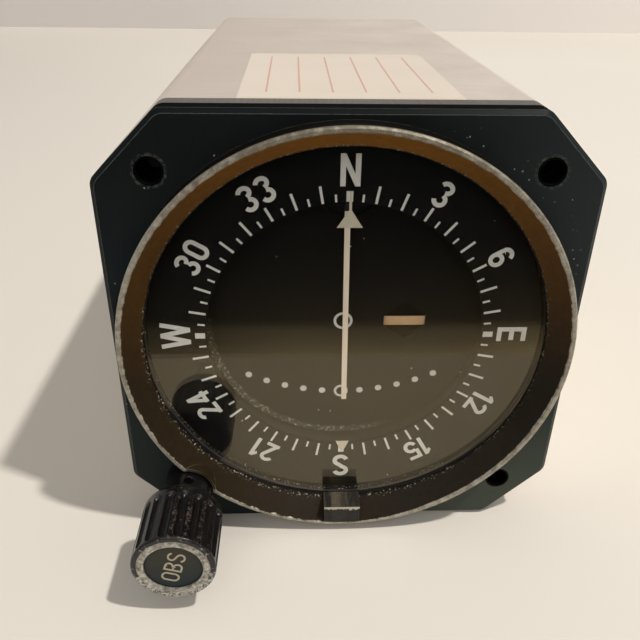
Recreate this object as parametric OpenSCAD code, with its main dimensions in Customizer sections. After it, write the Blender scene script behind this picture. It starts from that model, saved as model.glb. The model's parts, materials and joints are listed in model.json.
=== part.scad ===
// Course deviation indicator for a 79 mm panel hole.
// The origin is the dial centre on the flange's front face. +X is right, +Y runs
// back into the case and +Z is up. The case is long, clipped at its four corners.

/* [Flange and case outline] */
// How far the flange and the case stand out beyond the ring on each side
flange_margin = 1.5; // [1:0.1:2.5]
// How far each corner is clipped back along both sides
corner_leg = 11.1; // [9:0.1:12]
// Radius that blends each clipped corner into the sides
corner_r = 2.5; // [1:0.1:4]
// Thickness of the black flange
flange_t = 3.8; // [3:0.1:5]
// Bevel round the flange's front edge
flange_bevel = 0.75; // [0.3:0.05:1]
// Distance of the panel screw holes from the flange's sides
screw_edge = 9.47; // [9:0.01:10]
// Diameter of the panel screw holes
screw_d = 4; // [3:0.1:4.6]

/* [Bezel ring] */
// Outer diameter of the ring, which enters the panel hole
ring_d = 78.8; // [78.2:0.1:79.2]
// How far the ring stands out of the flange
rim_h = 4.3; // [3:0.1:6]
// Width of the ring's flat front edge
rim_land = 0.5; // [0.3:0.05:0.8]
// Chamfer outside that edge
rim_chamfer = 0.3; // [0.1:0.05:0.5]
// Width of the sloping wall, from the ring's outside to the glass
cone_w = 4.05; // [3.8:0.05:5]
// How far the ring is stepped in where it seats in the flange
spigot_step = 1.4; // [1:0.1:1.6]
// Wall of the ring there
spigot_t = 1.4; // [1:0.1:1.6]
// Width of the plain block at the bottom of the ring
block_w = 7; // [4:0.5:12]
// Height of the plain block above the ring's rim
block_h = 4; // [2:0.1:5]

/* [Glass] */
// Thickness of the glass
glass_t = 2.1; // [1.5:0.1:3]
// Depth of the glass behind the flange's front face
glass_set = 0.1; // [0:0.05:0.5]
// Thickness of the rubber gasket behind it
gasket_t = 0.5; // [0.3:0.1:1]
// Depth of the retaining ring's back in the flange
retainer_set = 0.1; // [0.05:0.05:0.3]

/* [Compass card] */
// How far the card reaches behind the edge of the glass that shows
card_over = 1.25; // [0.6:0.05:1.5]
// Width of the card's band that shows behind the glass
card_band = 10.35; // [9:0.05:10.6]
// Thickness of the card
card_t = 0.6; // [0.4:0.1:1]
// Gap between the retaining ring and the card
card_gap = 0.75; // [0.4:0.05:1.5]
// Distance of the tick marks from the edge of the hole
tick_margin = 0.3; // [0.1:0.1:2]
// Length of the marks at every ten degrees
tick_long = 3; // [2:0.1:4]
// Length of the marks at the odd five degrees
tick_short = 1.3; // [0.8:0.1:2]
// Width of the tick marks at every ten degrees
tick_w = 0.44; // [0.3:0.02:0.8]
// Width of the marks at the odd five degrees
tick_short_w = 0.36; // [0.2:0.02:0.6]
// Width of the four main tick marks
tick_main_w = 1.1; // [0.6:0.1:1.6]

/* [Drive] */
// Distance of the knob's axis from the flange's left side and bottom
knob_inset = 11.2; // [11:0.1:11.7]
// Teeth of the card gear and of the resolver gear
card_teeth = 90; // [84:1:92]
// Teeth of the two pinions on the knob's shaft
pinion_teeth = 15; // [14:1:16]
// Width of the gears
gear_w = 2; // [1.2:0.1:3]
// Diameter of the knob's shaft
shaft_d = 3.2; // [2.4:0.1:4]
// Outer diameter of the shaft's bushes
bush_d = 6; // [5:0.1:6.4]
// Radial clearance of every running fit
run_gap = 0.05; // [0.02:0.01:0.08]
// Wall of the fixed ring that the card gear turns on
bearing_t = 1.5; // [1:0.1:2]

/* [Knob] */
// Diameter of the knob over its ribs
knob_d = 14.4; // [12:0.2:15]
// Distance from the flange's front face to the knob's front
knob_reach = 22.9; // [20:0.1:28]
// Length of the knob's body from front to neck
knob_len = 13.8; // [11:0.1:15]
// Diameter of the knob's neck
neck_d = 9; // [8:0.1:9.2]
// Number of grooves round the knob
groove_n = 18; // [12:1:22]
// Radius of each groove
groove_r = 0.9; // [0.5:0.05:0.95]
// Depth of each groove
groove_deep = 0.7; // [0.3:0.05:0.75]
// Distance of the grooves' round front ends from the knob's front
groove_set = 1.25; // [1.2:0.05:3]
// Radius that rounds the knob's shoulder
knob_shoulder = 2; // [0.5:0.1:2.6]
// Radius that rounds the knob's front edge
knob_edge = 0.4; // [0.1:0.05:0.6]
// Distance of the bright ring on the knob's front from the knob's outside
knob_ring_edge = 1; // [0.9:0.05:1.6]
// Width of the bright ring, from its outside to the disc inside it
knob_ring_w = 1.2; // [0.6:0.1:2.4]
// Thickness of the bright ring
knob_ring_t = 0.8; // [0.5:0.1:1.5]
// Depth of the disc below the ring's front
knob_cap_set = 0.3; // [0.1:0.05:0.4]

/* [Needle] */
// How far the needle's pivot lies above the mask's top edge
pivot_past = 0.8; // [0:0.1:1.6]
// How far the needle's tip reaches below the arc of dots
needle_past = 1; // [0.2:0.1:2]
// Width of the needle
needle_w = 1; // [0.6:0.1:1.6]
// Angle of the needle at rest, to the right of straight down
needle_rest = 0.7; // [-2:0.1:2]
// Height of the lowest dot above the mask's bottom edge
dots_above = 10.2; // [8:0.1:14]
// Angle between neighbouring dots
dot_step = 5; // [4:0.1:5.2]
// Diameter of the dots
dot_d = 1.3; // [0.8:0.1:2]
// Radius of the round opening in the mask at the pivot
pivot_open_r = 6.1; // [5:0.1:6.4]
// Gap between the card gear and the needle
needle_gap = 1.25; // [1:0.05:2]

/* [Mask and flag] */
// How far the mask reaches behind the card's inner edge
mask_under = 1.2; // [0.5:0.1:1.6]
// Gap all round between the mask and the ring that the card gear turns on
mask_edge_gap = 0.7; // [0.3:0.1:1.5]
// Gap between the needle and the mask
mask_gap = 1.2; // [0.6:0.1:2]
// Distance of the flag window's centre to the right of the dial centre
window_x = 11.65; // [10.5:0.05:12.5]
// Width of the flag window
window_w = 7.9; // [5:0.1:9]
// Height of the flag window's straight sides
window_side = 2.2; // [1:0.1:4]
// Height of the flag window between its two points
window_h = 7.8; // [5:0.1:9]
// Height of the coloured bar on the flag
flag_bar_h = 1.9; // [1:0.1:2.6]

/* [Meter movements] */
// Outer radius of the needle movement's ring magnet
magnet_r = 11.4; // [10:0.1:11.8]
// Bore radius of the ring magnet
magnet_bore_r = 7.8; // [7.5:0.1:8.4]
// Gap between that bore and the moving coil
coil_gap = 0.7; // [0.5:0.05:1]
// Thickness of the coil's sides
coil_side = 1.2; // [0.8:0.1:1.5]
// Gap between the coil and the soft iron core inside it
core_gap = 0.5; // [0.35:0.05:1]
// Length of the moving coil, front to back
coil_len = 10.2; // [9:0.1:11]
// Outer radius of the flag movement's coil
flag_coil_r = 6.4; // [5:0.1:8]

/* [Movement plates and case] */
// How far the grey frame behind the flange reaches past the card gear
frame_cover = 0.35; // [0.3:0.05:1.5]
// Thickness of both movement plates
plate_t = 2; // [1.5:0.1:3]
// Distance between the two movement plates
plate_space = 19.6; // [19:0.1:24]
// Distance from the flange's front face to the back of the rear cover
case_len = 130; // [122:1:145]
// Thickness of the case's sheet metal
case_t = 0.9; // [0.6:0.1:1.2]
// Thickness of the rear cover
cover_t = 1.5; // [1:0.1:2.5]
// Radius of the resolver's body
resolver_r = 13.5; // [10:0.5:16]
// Length of the resolver's body
resolver_len = 32; // [24:1:38]
// Width of the label on top of the case
label_w = 36.4; // [20:0.1:50]
// Length of the label
label_len = 46.8; // [20:0.1:80]

/* [Connector] */
// Outer radius of the rear connector's shell
shell_r = 12.5; // [11:0.1:15]
// Wall of the shell
shell_t = 1.2; // [0.8:0.1:1.8]
// How far the shell stands out of the rear cover
shell_out = 12; // [10:0.5:16]
// How much narrower the shell is inside the case
shell_step = 1; // [0.5:0.1:2]
// Pins in the outer row of the connector
pin_count = 12; // [8:1:14]

/* [Circuit board] */
// Width of the board
board_w = 58; // [40:1:66]
// Thickness of the board
board_t = 1.6; // [1:0.1:2.4]
// Distance of the board from the rear movement plate and from the rear cover
board_gap = 6; // [2:0.5:12]
// Diameter of the upright capacitors
cap_d = 7.2; // [5:0.1:9]
// Height of the upright capacitors
cap_h = 11; // [8:0.5:20]
// Width and height of the transformers
block_part_w = 12; // [8:0.5:16]
// Length of the transformers
block_part_len = 14; // [8:0.5:20]
// Diameter of the small components
bead_d = 2.2; // [1.5:0.1:3]
// Length of the small components
bead_len = 6; // [4:0.5:7]
// Width and length of the trimmers
trimmer_w = 6.4; // [5:0.1:9]
// Height of the trimmers
trimmer_h = 4.4; // [3:0.1:7]

/* [Hidden] */
$fn = 96;
tiny = 0.01;
print_t = 0.05;
slip = 0.1;

// Depths from the front, each from the piece before it
glass_y = glass_set;
gasket_y = glass_y + glass_t;
retainer_y = gasket_y + gasket_t;
retainer_end = flange_t - retainer_set;
card_y = retainer_end + card_gap;
gear_y = card_y + card_t;
gear_end = gear_y + gear_w;
needle_t = 0.3;
needle_y = gear_end + needle_gap;
mask_y = needle_y + needle_t + mask_gap;
mask_t = 0.5;
vane_t = 0.25;
vane_y = mask_y + mask_t + 0.4;
plate_y = vane_y + vane_t + 0.45;
plate_end = plate_y + plate_t;
back_plate_y = plate_end + plate_space;
back_plate_end = back_plate_y + plate_t;
frame_end = gear_end + frame_cover;
cover_y = case_len - cover_t;

// Outline, ring and glass
ring_r = ring_d / 2;
half = ring_r + flange_margin;
rim_r = ring_r - rim_chamfer - rim_land;
spigot_r = ring_r - spigot_step;
seat_r = spigot_r - spigot_t;
glass_r = seat_r - slip;
window_r = ring_r - cone_w;
case_in = half - case_t;
plate_slip = 0.2;
plate_half = case_in - plate_slip;
hole_at = half - screw_edge;
nut_r = 3.3;
nut_t = 2.8;
nut_hole_r = 1.4;

// Gears: the module follows from the knob's place, so the teeth always mesh
knob_offset = half - knob_inset;
axis_r = knob_offset * sqrt(2);
gear_m = 2 * axis_r / (card_teeth + pinion_teeth);
card_pitch_r = gear_m * card_teeth / 2;
addendum = 0.8 * gear_m;
card_tip_r = card_pitch_r + addendum;
pinion_tip_r = gear_m * pinion_teeth / 2 + addendum;
shaft_r = shaft_d / 2;
bush_r = bush_d / 2;
card_hole_r = window_r - card_band;
mask_r = card_hole_r + mask_under;
bearing_in = mask_r + mask_edge_gap;
bearing_r = bearing_in + bearing_t;
knob_r = knob_d / 2;
knob_front = -knob_reach;
knob_back = knob_front + knob_len;
knob_ring_r = knob_r - knob_ring_edge;
knob_cap_r = knob_ring_r - knob_ring_w;
set_screw_r = 0.9;
set_screw_y = knob_back + 2.7;
shaft_front = knob_front + knob_ring_t + 2;
neck_r = neck_d / 2;
notch_r = neck_r + 0.35;
notch_wall = 0.4;
neck_end = 0.8;
tooth_gap = 0.45;
resolver_gap = 3.8;
resolver_gear_y = back_plate_y - resolver_gap;
resolver_gear_w = 0.8 * gear_w;
pinion_over = 0.1;
pinion_hub_r = 2.8;
pinion_hub_len = 1.5;
retainer_lip = 1.8;
card_retainer_gap = 0.25;
card_retainer_t = 0.4;
bearing_set = 0.3;
pivot_clear = 0.4;

// Mask, ticks and needle
tick_r = card_hole_r + tick_margin;
card_r = window_r + card_over;
frame_open_r = max(card_r, card_tip_r) + tooth_gap;
pivot_up = mask_r + pivot_past;
dot_arc_r = pivot_up + mask_r - dots_above;
needle_len = dot_arc_r + needle_past;
tick_main_len = 1.8;
tick_numbered_len = tick_long - 0.4;
index_w = 4.3;
index_h = 3;
index_stem = 3.2;
reciprocal_w = 2.6;
reciprocal_tip = 0.5;
reciprocal_h = 2.4;
needle_hub_r = 1.8;
needle_tail = 7;
needle_tail_w = 1.2;
weight_at = 6;
weight_r = 1.8;
weight_t = 1.2;

// Movements
pin_r = 0.6;
jewel_r = 2;
coil_half = magnet_bore_r - coil_gap;
core_r = coil_half - coil_side - core_gap;
meter_y = plate_end + 0.4;
coil_wall = 1;
coil_end = meter_y + coil_len;
bridge_y = coil_end + 1.2;
bridge_t = 1.2;
meter_post_r = 1.5;
post_x = magnet_r + meter_post_r + 1.1;
flag_post_r = 1.3;
flag_post_z = flag_coil_r + flag_post_r + 0.7;
bridge_w = 6;
flag_x = -2;
flag_reach = window_x - flag_x;
flag_coil_y = plate_end + 1;
flag_coil_len = 6.2;
flag_rotor_r = 3;
flag_turn = 22;
flag_bridge_y = flag_coil_y + flag_coil_len + 0.6;
pillar_r = 1.8;
pillar_x = 16;
pillar_z = case_in - pillar_r - 0.5;
rail_w = 2 * pillar_r;
cover_screw_r = 1.1;
cover_screw_len = 6;
cover_head_r = 2.5;
cover_head_t = 1.2;
cover_slot_w = 0.7;
shell_bore_r = shell_r - shell_step - shell_t;
connector_lip = 2.5;
connector_base_t = 1.6;
connector_back = 4;
contact_r = 0.5;
contact_back = 5;
contact_out = 5.5;
insert_back = 3;
insert_out = 2;
contact_edge = 4.6;
board_z = -pillar_z + pillar_r;
board_top = board_z + board_t;
board_y = back_plate_end + board_gap;
board_len = cover_y - board_gap - board_y;
cap_n = 5;
block_part_n = 2;
bead_n = 7;
bead_rows = 3;
trimmer_n = 4;
row_gap = 3;
cap_row_y = board_y + row_gap + cap_d / 2;
block_part_y = board_y + 2 * row_gap + cap_d;
beads_from = block_part_y + block_part_len + row_gap;
trimmer_y = board_y + board_len - row_gap - trimmer_w;
bead_step = (trimmer_y - beads_from) / bead_rows;
cleat_len = 6;
cleat_t = 3;
cleat_hole_r = 1.2;
wire_hole_at = 24;
wire_hole_r = 5;
resolver_bore = 8;
resolver_shaft_in = 7;
resolver_end_t = 2;
gear_hub_r = 5;
gear_hole_at = 20;
gear_hole_r = 7;

// Outline of a square with clipped and rounded corners, as corner arcs
function clipped(h, leg, r) =
    let (cut = r * tan(22.5),
         ends = [[h - leg, h, 90, 45], [h, h - leg, 45, 0]],
         quarter = [for (e = ends) for (k = [0 : 4])
            let (first = e[2] == 90,
                 c = first ? [h - leg - cut, h - r] : [h - r, h - leg - cut],
                 a = e[2] - k * 45 / 4)
            c + r * [cos(a), sin(a)]])
    [for (q = [0 : 3]) for (p = quarter)
        let (a = -90 * q) [p[0] * cos(a) - p[1] * sin(a), p[0] * sin(a) + p[1] * cos(a)]];

// Outline of a spur gear with straight-flanked teeth; a tooth stands at angle 0
function gear_outline(teeth) =
    let (pitch_r = gear_m * teeth / 2,
         tip_r = pitch_r + addendum,
         root_r = pitch_r - gear_m,
         tip_a = 0.36 * gear_m / tip_r * 180 / PI,
         root_a = 1.06 * gear_m / root_r * 180 / PI)
    [for (k = [0 : teeth - 1])
        for (q = [[root_r, -root_a], [tip_r, -tip_a], [tip_r, tip_a], [root_r, root_a]])
        let (a = k * 360 / teeth + q[1]) q[0] * [cos(a), sin(a)]];

// A plate seen from the front: its outline lies in X and Z, its thickness along Y
module face_plate(y, t) {
    translate([0, y + t, 0]) rotate([90, 0, 0]) linear_extrude(t) children();
}

// A turned piece on the dial's axis, from points of radius and depth
module turned(points) {
    rotate([-90, 0, 0]) rotate_extrude($fn = 180) polygon(points);
}

module rod(x, z, y, len, r) {
    translate([x, y, z]) rotate([-90, 0, 0]) cylinder(h = len, r = r);
}

module tube(x, z, y, len, outer, inner) {
    difference() {
        rod(x, z, y, len, outer);
        rod(x, z, y - 1, len + 2, inner);
    }
}

module at_knob() {
    translate([-knob_offset, 0, -knob_offset]) children();
}

module at_pivot() {
    translate([0, 0, pivot_up]) rotate([0, -needle_rest, 0]) children();
}

module case_outline(h) {
    polygon(clipped(h, corner_leg - 0.586 * (half - h), corner_r));
}

module panel_holes(r, y, len) {
    for (p = [[-1, 1], [1, 1], [1, -1]]) rod(p[0] * hole_at, p[1] * hole_at, y, len, r);
}

module four_pillars(y, len, r) {
    for (sx = [-1, 1]) for (sz = [-1, 1]) rod(sx * pillar_x, sz * pillar_z, y, len, r);
}

module bezel_flange() {
    color([0.05, 0.07, 0.08]) difference() {
        hull() {
            face_plate(0, tiny) case_outline(half - flange_bevel);
            face_plate(flange_bevel, flange_t - flange_bevel) case_outline(half);
        }
        rod(0, 0, -1, flange_t + 2, spigot_r);
        panel_holes(screw_d / 2, -1, flange_t + 2);
        at_knob() rod(0, 0, -1, flange_t + 2, bush_r);
    }
}

// The ring's inner wall is a cone from the rim to the glass. A thin round wall
// bulges into it where the ring is cut away to clear the knob's neck and the bush.
module bezel_ring() {
    color([0.07, 0.06, 0.05]) difference() {
        union() {
            turned([[rim_r, -rim_h], [rim_r + rim_land, -rim_h], [ring_r, rim_chamfer - rim_h],
                [ring_r, 0], [spigot_r, 0], [spigot_r, flange_t], [seat_r, flange_t],
                [seat_r, glass_y], [window_r, glass_y]]);
            intersection() {
                at_knob() rod(0, 0, -rim_h, rim_h, notch_r + notch_wall);
                rod(0, 0, -rim_h, rim_h, rim_r + tiny);
            }
        }
        at_knob() {
            rod(0, 0, -rim_h - 1, rim_h + 1, notch_r);
            rod(0, 0, -1, flange_t + 2, bush_r + slip);
        }
    }
}

// A plain block on the ring's inner wall, cut to the cone that it stands on
module badge_block() {
    color([0.06, 0.06, 0.06]) intersection() {
        translate([-block_w / 2, -rim_h, -rim_r]) cube([block_w, rim_h + glass_y - slip, block_h]);
        turned([[0, -rim_h], [rim_r, -rim_h], [window_r, glass_y], [0, glass_y]]);
    }
}

module lens_glass() {
    color([0.8, 0.9, 0.9, 0.3]) rod(0, 0, glass_y, glass_t, glass_r);
}

module lens_gasket() {
    color([0.1, 0.1, 0.1]) tube(0, 0, gasket_y, gasket_t, glass_r, window_r + 0.2);
}

module lens_retainer() {
    color([0.08, 0.08, 0.08]) tube(0, 0, retainer_y, retainer_end - retainer_y, seat_r, window_r + 0.15);
}

// Course index and its reciprocal, printed on the back of the glass
module index_marks() {
    edge = tick_r - 0.3;
    shoulder = edge - 0.4;
    color([0.63, 0.6, 0.52]) face_plate(gasket_y, slip) {
        polygon([[-index_w / 2, shoulder - index_h], [index_w / 2, shoulder - index_h],
            [tick_w / 2, shoulder], [tick_w / 2, shoulder + index_stem],
            [-tick_w / 2, shoulder + index_stem], [-tick_w / 2, shoulder]]);
        polygon([[-reciprocal_w / 2, reciprocal_h - edge], [reciprocal_w / 2, reciprocal_h - edge],
            [reciprocal_tip / 2, -edge], [-reciprocal_tip / 2, -edge]]);
    }
}

module front_frame() {
    depth = frame_end - flange_t;
    web = gear_y - 0.1 - flange_t;
    color([0.5, 0.5, 0.48]) difference() {
        face_plate(flange_t, depth) case_outline(half);
        rod(0, 0, flange_t - 1, depth + 2, frame_open_r);
        panel_holes(nut_r, flange_t - 1, nut_t + 1);
        at_knob() {
            rod(0, 0, flange_t - 1, depth + 2, bush_r);
            rod(0, 0, flange_t + web, depth, pinion_tip_r + 0.5);
        }
    }
}

module mount_nuts() {
    color([0.6, 0.6, 0.62]) difference() {
        panel_holes(nut_r, flange_t, nut_t);
        panel_holes(nut_hole_r, flange_t - 1, nut_t + 2);
    }
}

module shaft_bushes() {
    front = -0.4;
    color([0.72, 0.6, 0.3]) at_knob() {
        tube(0, 0, front, gear_y - 0.1 - front, bush_r, shaft_r + run_gap);
        tube(0, 0, back_plate_y - 0.4, plate_t + 0.8, bush_r, shaft_r + run_gap);
    }
}

module card_bearing_ring() {
    front = gear_y + bearing_set;
    color([0.7, 0.6, 0.35]) difference() {
        tube(0, 0, front, plate_y - front, bearing_r, bearing_in);
        rod(0, pivot_up, needle_y - pivot_clear, plate_y, pivot_open_r + pivot_clear);
    }
}

module card_retainer() {
    color([0.55, 0.55, 0.56])
        tube(0, 0, gear_end + card_retainer_gap, card_retainer_t, bearing_r + retainer_lip, bearing_r);
}

// The mask has the flag window and a round opening for the needle's pivot
module mask_plate() {
    w = window_w / 2;
    color([0.03, 0.03, 0.03]) difference() {
        rod(0, 0, mask_y, mask_t, mask_r);
        rod(0, pivot_up, mask_y - 1, mask_t + 2, pivot_open_r);
        face_plate(mask_y - 1, mask_t + 2) translate([window_x, 0])
            polygon([[-w, -window_side / 2], [0, -window_h / 2], [w, -window_side / 2],
                [w, window_side / 2], [0, window_h / 2], [-w, window_side / 2]]);
    }
}

// Two open circles and five dots each side, on an arc about the pivot
module mask_marks() {
    y = mask_y - print_t;
    line = 0.5;
    centre_r = 1.8;
    arc_r = 1.4;
    color([0.78, 0.77, 0.72]) {
        tube(0, 0, y, print_t, centre_r, centre_r - line);
        tube(0, pivot_up - dot_arc_r, y, print_t, arc_r, arc_r - line);
        for (s = [-1, 1]) for (k = [1 : 5])
            let (x = s * dot_arc_r * sin(k * dot_step), z = pivot_up - dot_arc_r * cos(k * dot_step))
            rod(x, z, y, print_t, dot_d / 2);
    }
}

module mask_standoffs() {
    standoff_r = 1.2;
    at = mask_r - 0.5 - standoff_r;
    y = mask_y + mask_t;
    color([0.6, 0.6, 0.6]) for (a = [30, 150, 210, 330])
        rod(at * cos(a), at * sin(a), y, plate_y - y, standoff_r);
}

module frame_pillars() {
    color([0.62, 0.62, 0.62]) four_pillars(frame_end, plate_y - frame_end, pillar_r);
}

module movement_plate() {
    color([0.55, 0.56, 0.56]) difference() {
        face_plate(plate_y, plate_t) case_outline(plate_half);
        rod(0, pivot_up, plate_y - 1, plate_t + 2, jewel_r);
        rod(flag_x, 0, plate_y - 1, plate_t + 2, jewel_r);
        at_knob() rod(0, 0, plate_y - 1, plate_t + 2, shaft_r + 0.6);
    }
}

// Four brass bushes: front and rear of the needle's pivot and of the flag's
module jewel_bushes() {
    color([0.75, 0.62, 0.3]) {
        tube(0, pivot_up, plate_y, plate_t, jewel_r, pin_r + run_gap);
        tube(0, pivot_up, bridge_y, bridge_t, jewel_r, pin_r + run_gap);
        tube(flag_x, 0, plate_y, plate_t, jewel_r, pin_r + run_gap);
        tube(flag_x, 0, flag_bridge_y, bridge_t, jewel_r, pin_r + run_gap);
    }
}

module meter_magnet() {
    color([0.35, 0.35, 0.37]) difference() {
        tube(0, pivot_up, plate_end, coil_len - 1, magnet_r, magnet_bore_r);
        at_core_pin(magnet_r + 1);
    }
}

module at_core_pin(reach) {
    y = plate_end + (coil_len - 1) / 2;
    translate([0, y, pivot_up - reach]) cylinder(h = 2 * reach, r = 0.7);
}

// The iron core hangs in the magnet on a cross pin, inside the coil
module meter_core() {
    gap = 0.35;
    y = meter_y + coil_wall + gap;
    color([0.45, 0.45, 0.46]) union() {
        rod(0, pivot_up, y, coil_len - 2 * coil_wall - 2 * gap, core_r);
        at_core_pin(magnet_r);
    }
}

module bridge_posts() {
    color([0.7, 0.6, 0.35]) {
        for (s = [-1, 1]) rod(s * post_x, pivot_up, plate_end, bridge_y - plate_end, meter_post_r);
        for (s = [-1, 1]) rod(flag_x, s * flag_post_z, plate_end, flag_bridge_y - plate_end, flag_post_r);
    }
}

module bridge_bar(x, z, y, reach, upright) {
    difference() {
        translate([x, y, z]) rotate([0, upright ? 90 : 0, 0])
            translate([-reach, 0, -bridge_w / 2]) cube([2 * reach, bridge_t, bridge_w]);
        rod(x, z, y - 1, bridge_t + 2, jewel_r);
    }
}

module meter_bridge() {
    color([0.72, 0.62, 0.36]) bridge_bar(0, pivot_up, bridge_y, post_x + meter_post_r + 0.9, false);
}

// A spiral strip round the rear pivot, held by a stud on the bridge
module hairspring() {
    turns = 4;
    inner = 1.2;
    step = 0.55;
    strip = 0.14;
    y = coil_end + 0.4;
    angles = [for (k = [0 : 15 : 360 * turns]) k];
    path = function (off) [for (a = angles) (inner + off + step * a / 360) * [cos(a), sin(a)]];
    out = path(strip);
    outer_r = inner + step * turns;
    color([0.6, 0.62, 0.7]) {
        translate([0, 0, pivot_up]) face_plate(y, 0.4)
            polygon(concat(path(0), [for (k = [len(out) - 1 : -1 : 0]) out[k]]));
        rod(outer_r + 0.35, pivot_up, y, bridge_y - y, 0.25);
    }
}

module flag_coil() {
    foot_r = 0.9;
    foot_at = flag_coil_r - foot_r - 0.5;
    color([0.6, 0.3, 0.15]) tube(flag_x, 0, flag_coil_y, flag_coil_len, flag_coil_r, flag_rotor_r + 0.6);
    color([0.6, 0.3, 0.15]) for (s = [-1, 1])
        rod(flag_x + s * foot_at, 0, plate_end, flag_coil_y - plate_end, foot_r);
}

module flag_bridge() {
    color([0.72, 0.62, 0.36]) bridge_bar(flag_x, 0, flag_bridge_y, flag_post_z + flag_post_r + 0.7, true);
}

module plate_spacers() {
    color([0.62, 0.62, 0.62]) four_pillars(plate_end, back_plate_y - plate_end, pillar_r);
}

module resolver_plate() {
    color([0.55, 0.56, 0.56]) difference() {
        face_plate(back_plate_y, plate_t) case_outline(plate_half);
        rod(0, 0, back_plate_y - 1, plate_t + 2, shaft_r + 1.4);
        at_knob() rod(0, 0, back_plate_y - 1, plate_t + 2, bush_r);
        for (s = [-1, 1]) rod(0, s * wire_hole_at, back_plate_y - 1, plate_t + 2, wire_hole_r);
    }
}

// The resolver's case, with the blind bore that its shaft turns in
module resolver_body() {
    bore = shaft_r + run_gap;
    rear = back_plate_end + resolver_len;
    color([0.66, 0.66, 0.68]) difference() {
        union() {
            rod(0, 0, back_plate_end, resolver_len - resolver_end_t, resolver_r);
            rod(0, 0, rear - resolver_end_t, resolver_end_t, resolver_r - resolver_end_t);
        }
        rod(0, 0, back_plate_end - 1, resolver_bore + 1, bore);
    }
}

// Three cleats press the resolver's groove against the plate
module resolver_clamps() {
    color([0.7, 0.7, 0.7]) for (a = [90, 210, 330]) rotate([0, a, 0]) difference() {
        translate([resolver_r, back_plate_end, -cleat_len / 2]) cube([cleat_len, cleat_t, cleat_len]);
        rod(resolver_r + cleat_len / 2 + 0.7, 0, back_plate_end + cleat_t - 1, 2, cleat_hole_r);
    }
}

module chassis_rails() {
    color([0.6, 0.6, 0.6]) difference() {
        for (sx = [-1, 1]) for (sz = [-1, 1])
            translate([sx * pillar_x - pillar_r, back_plate_end, sz * pillar_z - pillar_r])
                cube([rail_w, cover_y - back_plate_end, rail_w]);
        four_pillars(cover_y - cover_screw_len - 1, cover_screw_len + 2, cover_screw_r);
    }
}

module circuit_board() {
    color([0.25, 0.32, 0.16]) translate([-board_w / 2, board_y, board_z]) cube([board_w, board_len, board_t]);
}

// Places of n pieces in a row across the board, at the same spacing
function across(n) = [for (k = [0 : n - 1]) board_w * ((k + 0.5) / n - 0.5)];

// Electrolytic capacitors and transformers stand on the board
module capacitors() {
    color([0.25, 0.35, 0.55]) for (x = across(cap_n))
        translate([x, cap_row_y, board_top]) cylinder(h = cap_h, r = cap_d / 2);
    color([0.2, 0.2, 0.22]) for (x = across(block_part_n))
        translate([x - block_part_w / 2, block_part_y, board_top])
            cube([block_part_w, block_part_len, block_part_w]);
}

// Each small component is a bead on a foot that touches the board
module small_components() {
    bead_r = bead_d / 2;
    foot_w = 0.36 * bead_d;
    color([0.6, 0.45, 0.3]) for (row = [0 : bead_rows - 1]) for (x = across(bead_n))
        translate([x, beads_from + row * bead_step, board_top + bead_r]) rotate([-90, 0, 0])
            union() {
                cylinder(h = bead_len, r = bead_r);
                translate([-foot_w / 2, 0, 0]) cube([foot_w, bead_r, bead_len]);
            }
}

module trimmers() {
    disc_r = 0.27 * trimmer_w;
    color([0.15, 0.25, 0.6]) for (x = across(trimmer_n)) difference() {
        translate([x - trimmer_w / 2, trimmer_y, board_top]) cube([trimmer_w, trimmer_w, trimmer_h]);
        translate([x, trimmer_y + trimmer_w / 2, board_top + trimmer_h - 0.6]) cylinder(h = 1, r = disc_r);
    }
}

module case_sleeve() {
    len = cover_y - frame_end;
    color([0.72, 0.68, 0.64]) difference() {
        face_plate(frame_end, len) case_outline(half);
        face_plate(frame_end - 1, len + 2) case_outline(case_in);
    }
}

module case_label() {
    color([0.92, 0.89, 0.82]) translate([-label_w / 2 + 0.1, frame_end + 0.2, half])
        cube([label_w, label_len, slip]);
}

module rear_cover() {
    color([0.6, 0.58, 0.55]) difference() {
        face_plate(cover_y, cover_t) case_outline(half);
        rod(0, 0, cover_y - 1, cover_t + 2, shell_r - shell_step);
        four_pillars(cover_y - 1, cover_t + 2, cover_screw_r + 0.2);
    }
}

module case_screws() {
    slot_len = 2 * cover_head_r + 2;
    color([0.7, 0.7, 0.7]) {
        four_pillars(cover_y - cover_screw_len, cover_t + cover_screw_len, cover_screw_r);
        difference() {
            four_pillars(case_len, cover_head_t, cover_head_r);
            for (sx = [-1, 1]) for (sz = [-1, 1])
                translate([sx * pillar_x - slot_len / 2, case_len + cover_head_t / 2, sz * pillar_z])
                    translate([0, 0, -cover_slot_w / 2]) cube([slot_len, cover_head_t, cover_slot_w]);
        }
    }
}

module connector_shell() {
    edge = shell_r + connector_lip;
    color([0.6, 0.6, 0.56]) difference() {
        union() {
            translate([-edge, case_len, -edge]) cube([2 * edge, connector_base_t, 2 * edge]);
            rod(0, 0, case_len, shell_out, shell_r);
            rod(0, 0, case_len - connector_back, connector_back, shell_r - shell_step);
        }
        rod(0, 0, case_len - connector_back - 1, shell_out + connector_back + 2, shell_bore_r);
    }
}

module connector_insert() {
    color([0.12, 0.12, 0.12]) difference() {
        rod(0, 0, case_len - insert_back, insert_back + insert_out, shell_bore_r);
        contact_circle(case_len - insert_back - 1, insert_back + insert_out + 2);
    }
}

module connector_pins() {
    color([0.85, 0.7, 0.35]) contact_circle(case_len - contact_back, contact_back + contact_out);
}

// An outer ring of contacts and an inner ring of six
module contact_circle(y, len) {
    outer = shell_r - contact_edge;
    for (ring = [[outer, pin_count], [outer / 2, 6]]) for (k = [0 : ring[1] - 1])
        let (a = k * 360 / ring[1]) rod(ring[0] * cos(a), ring[0] * sin(a), y, len, contact_r);
}

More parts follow.
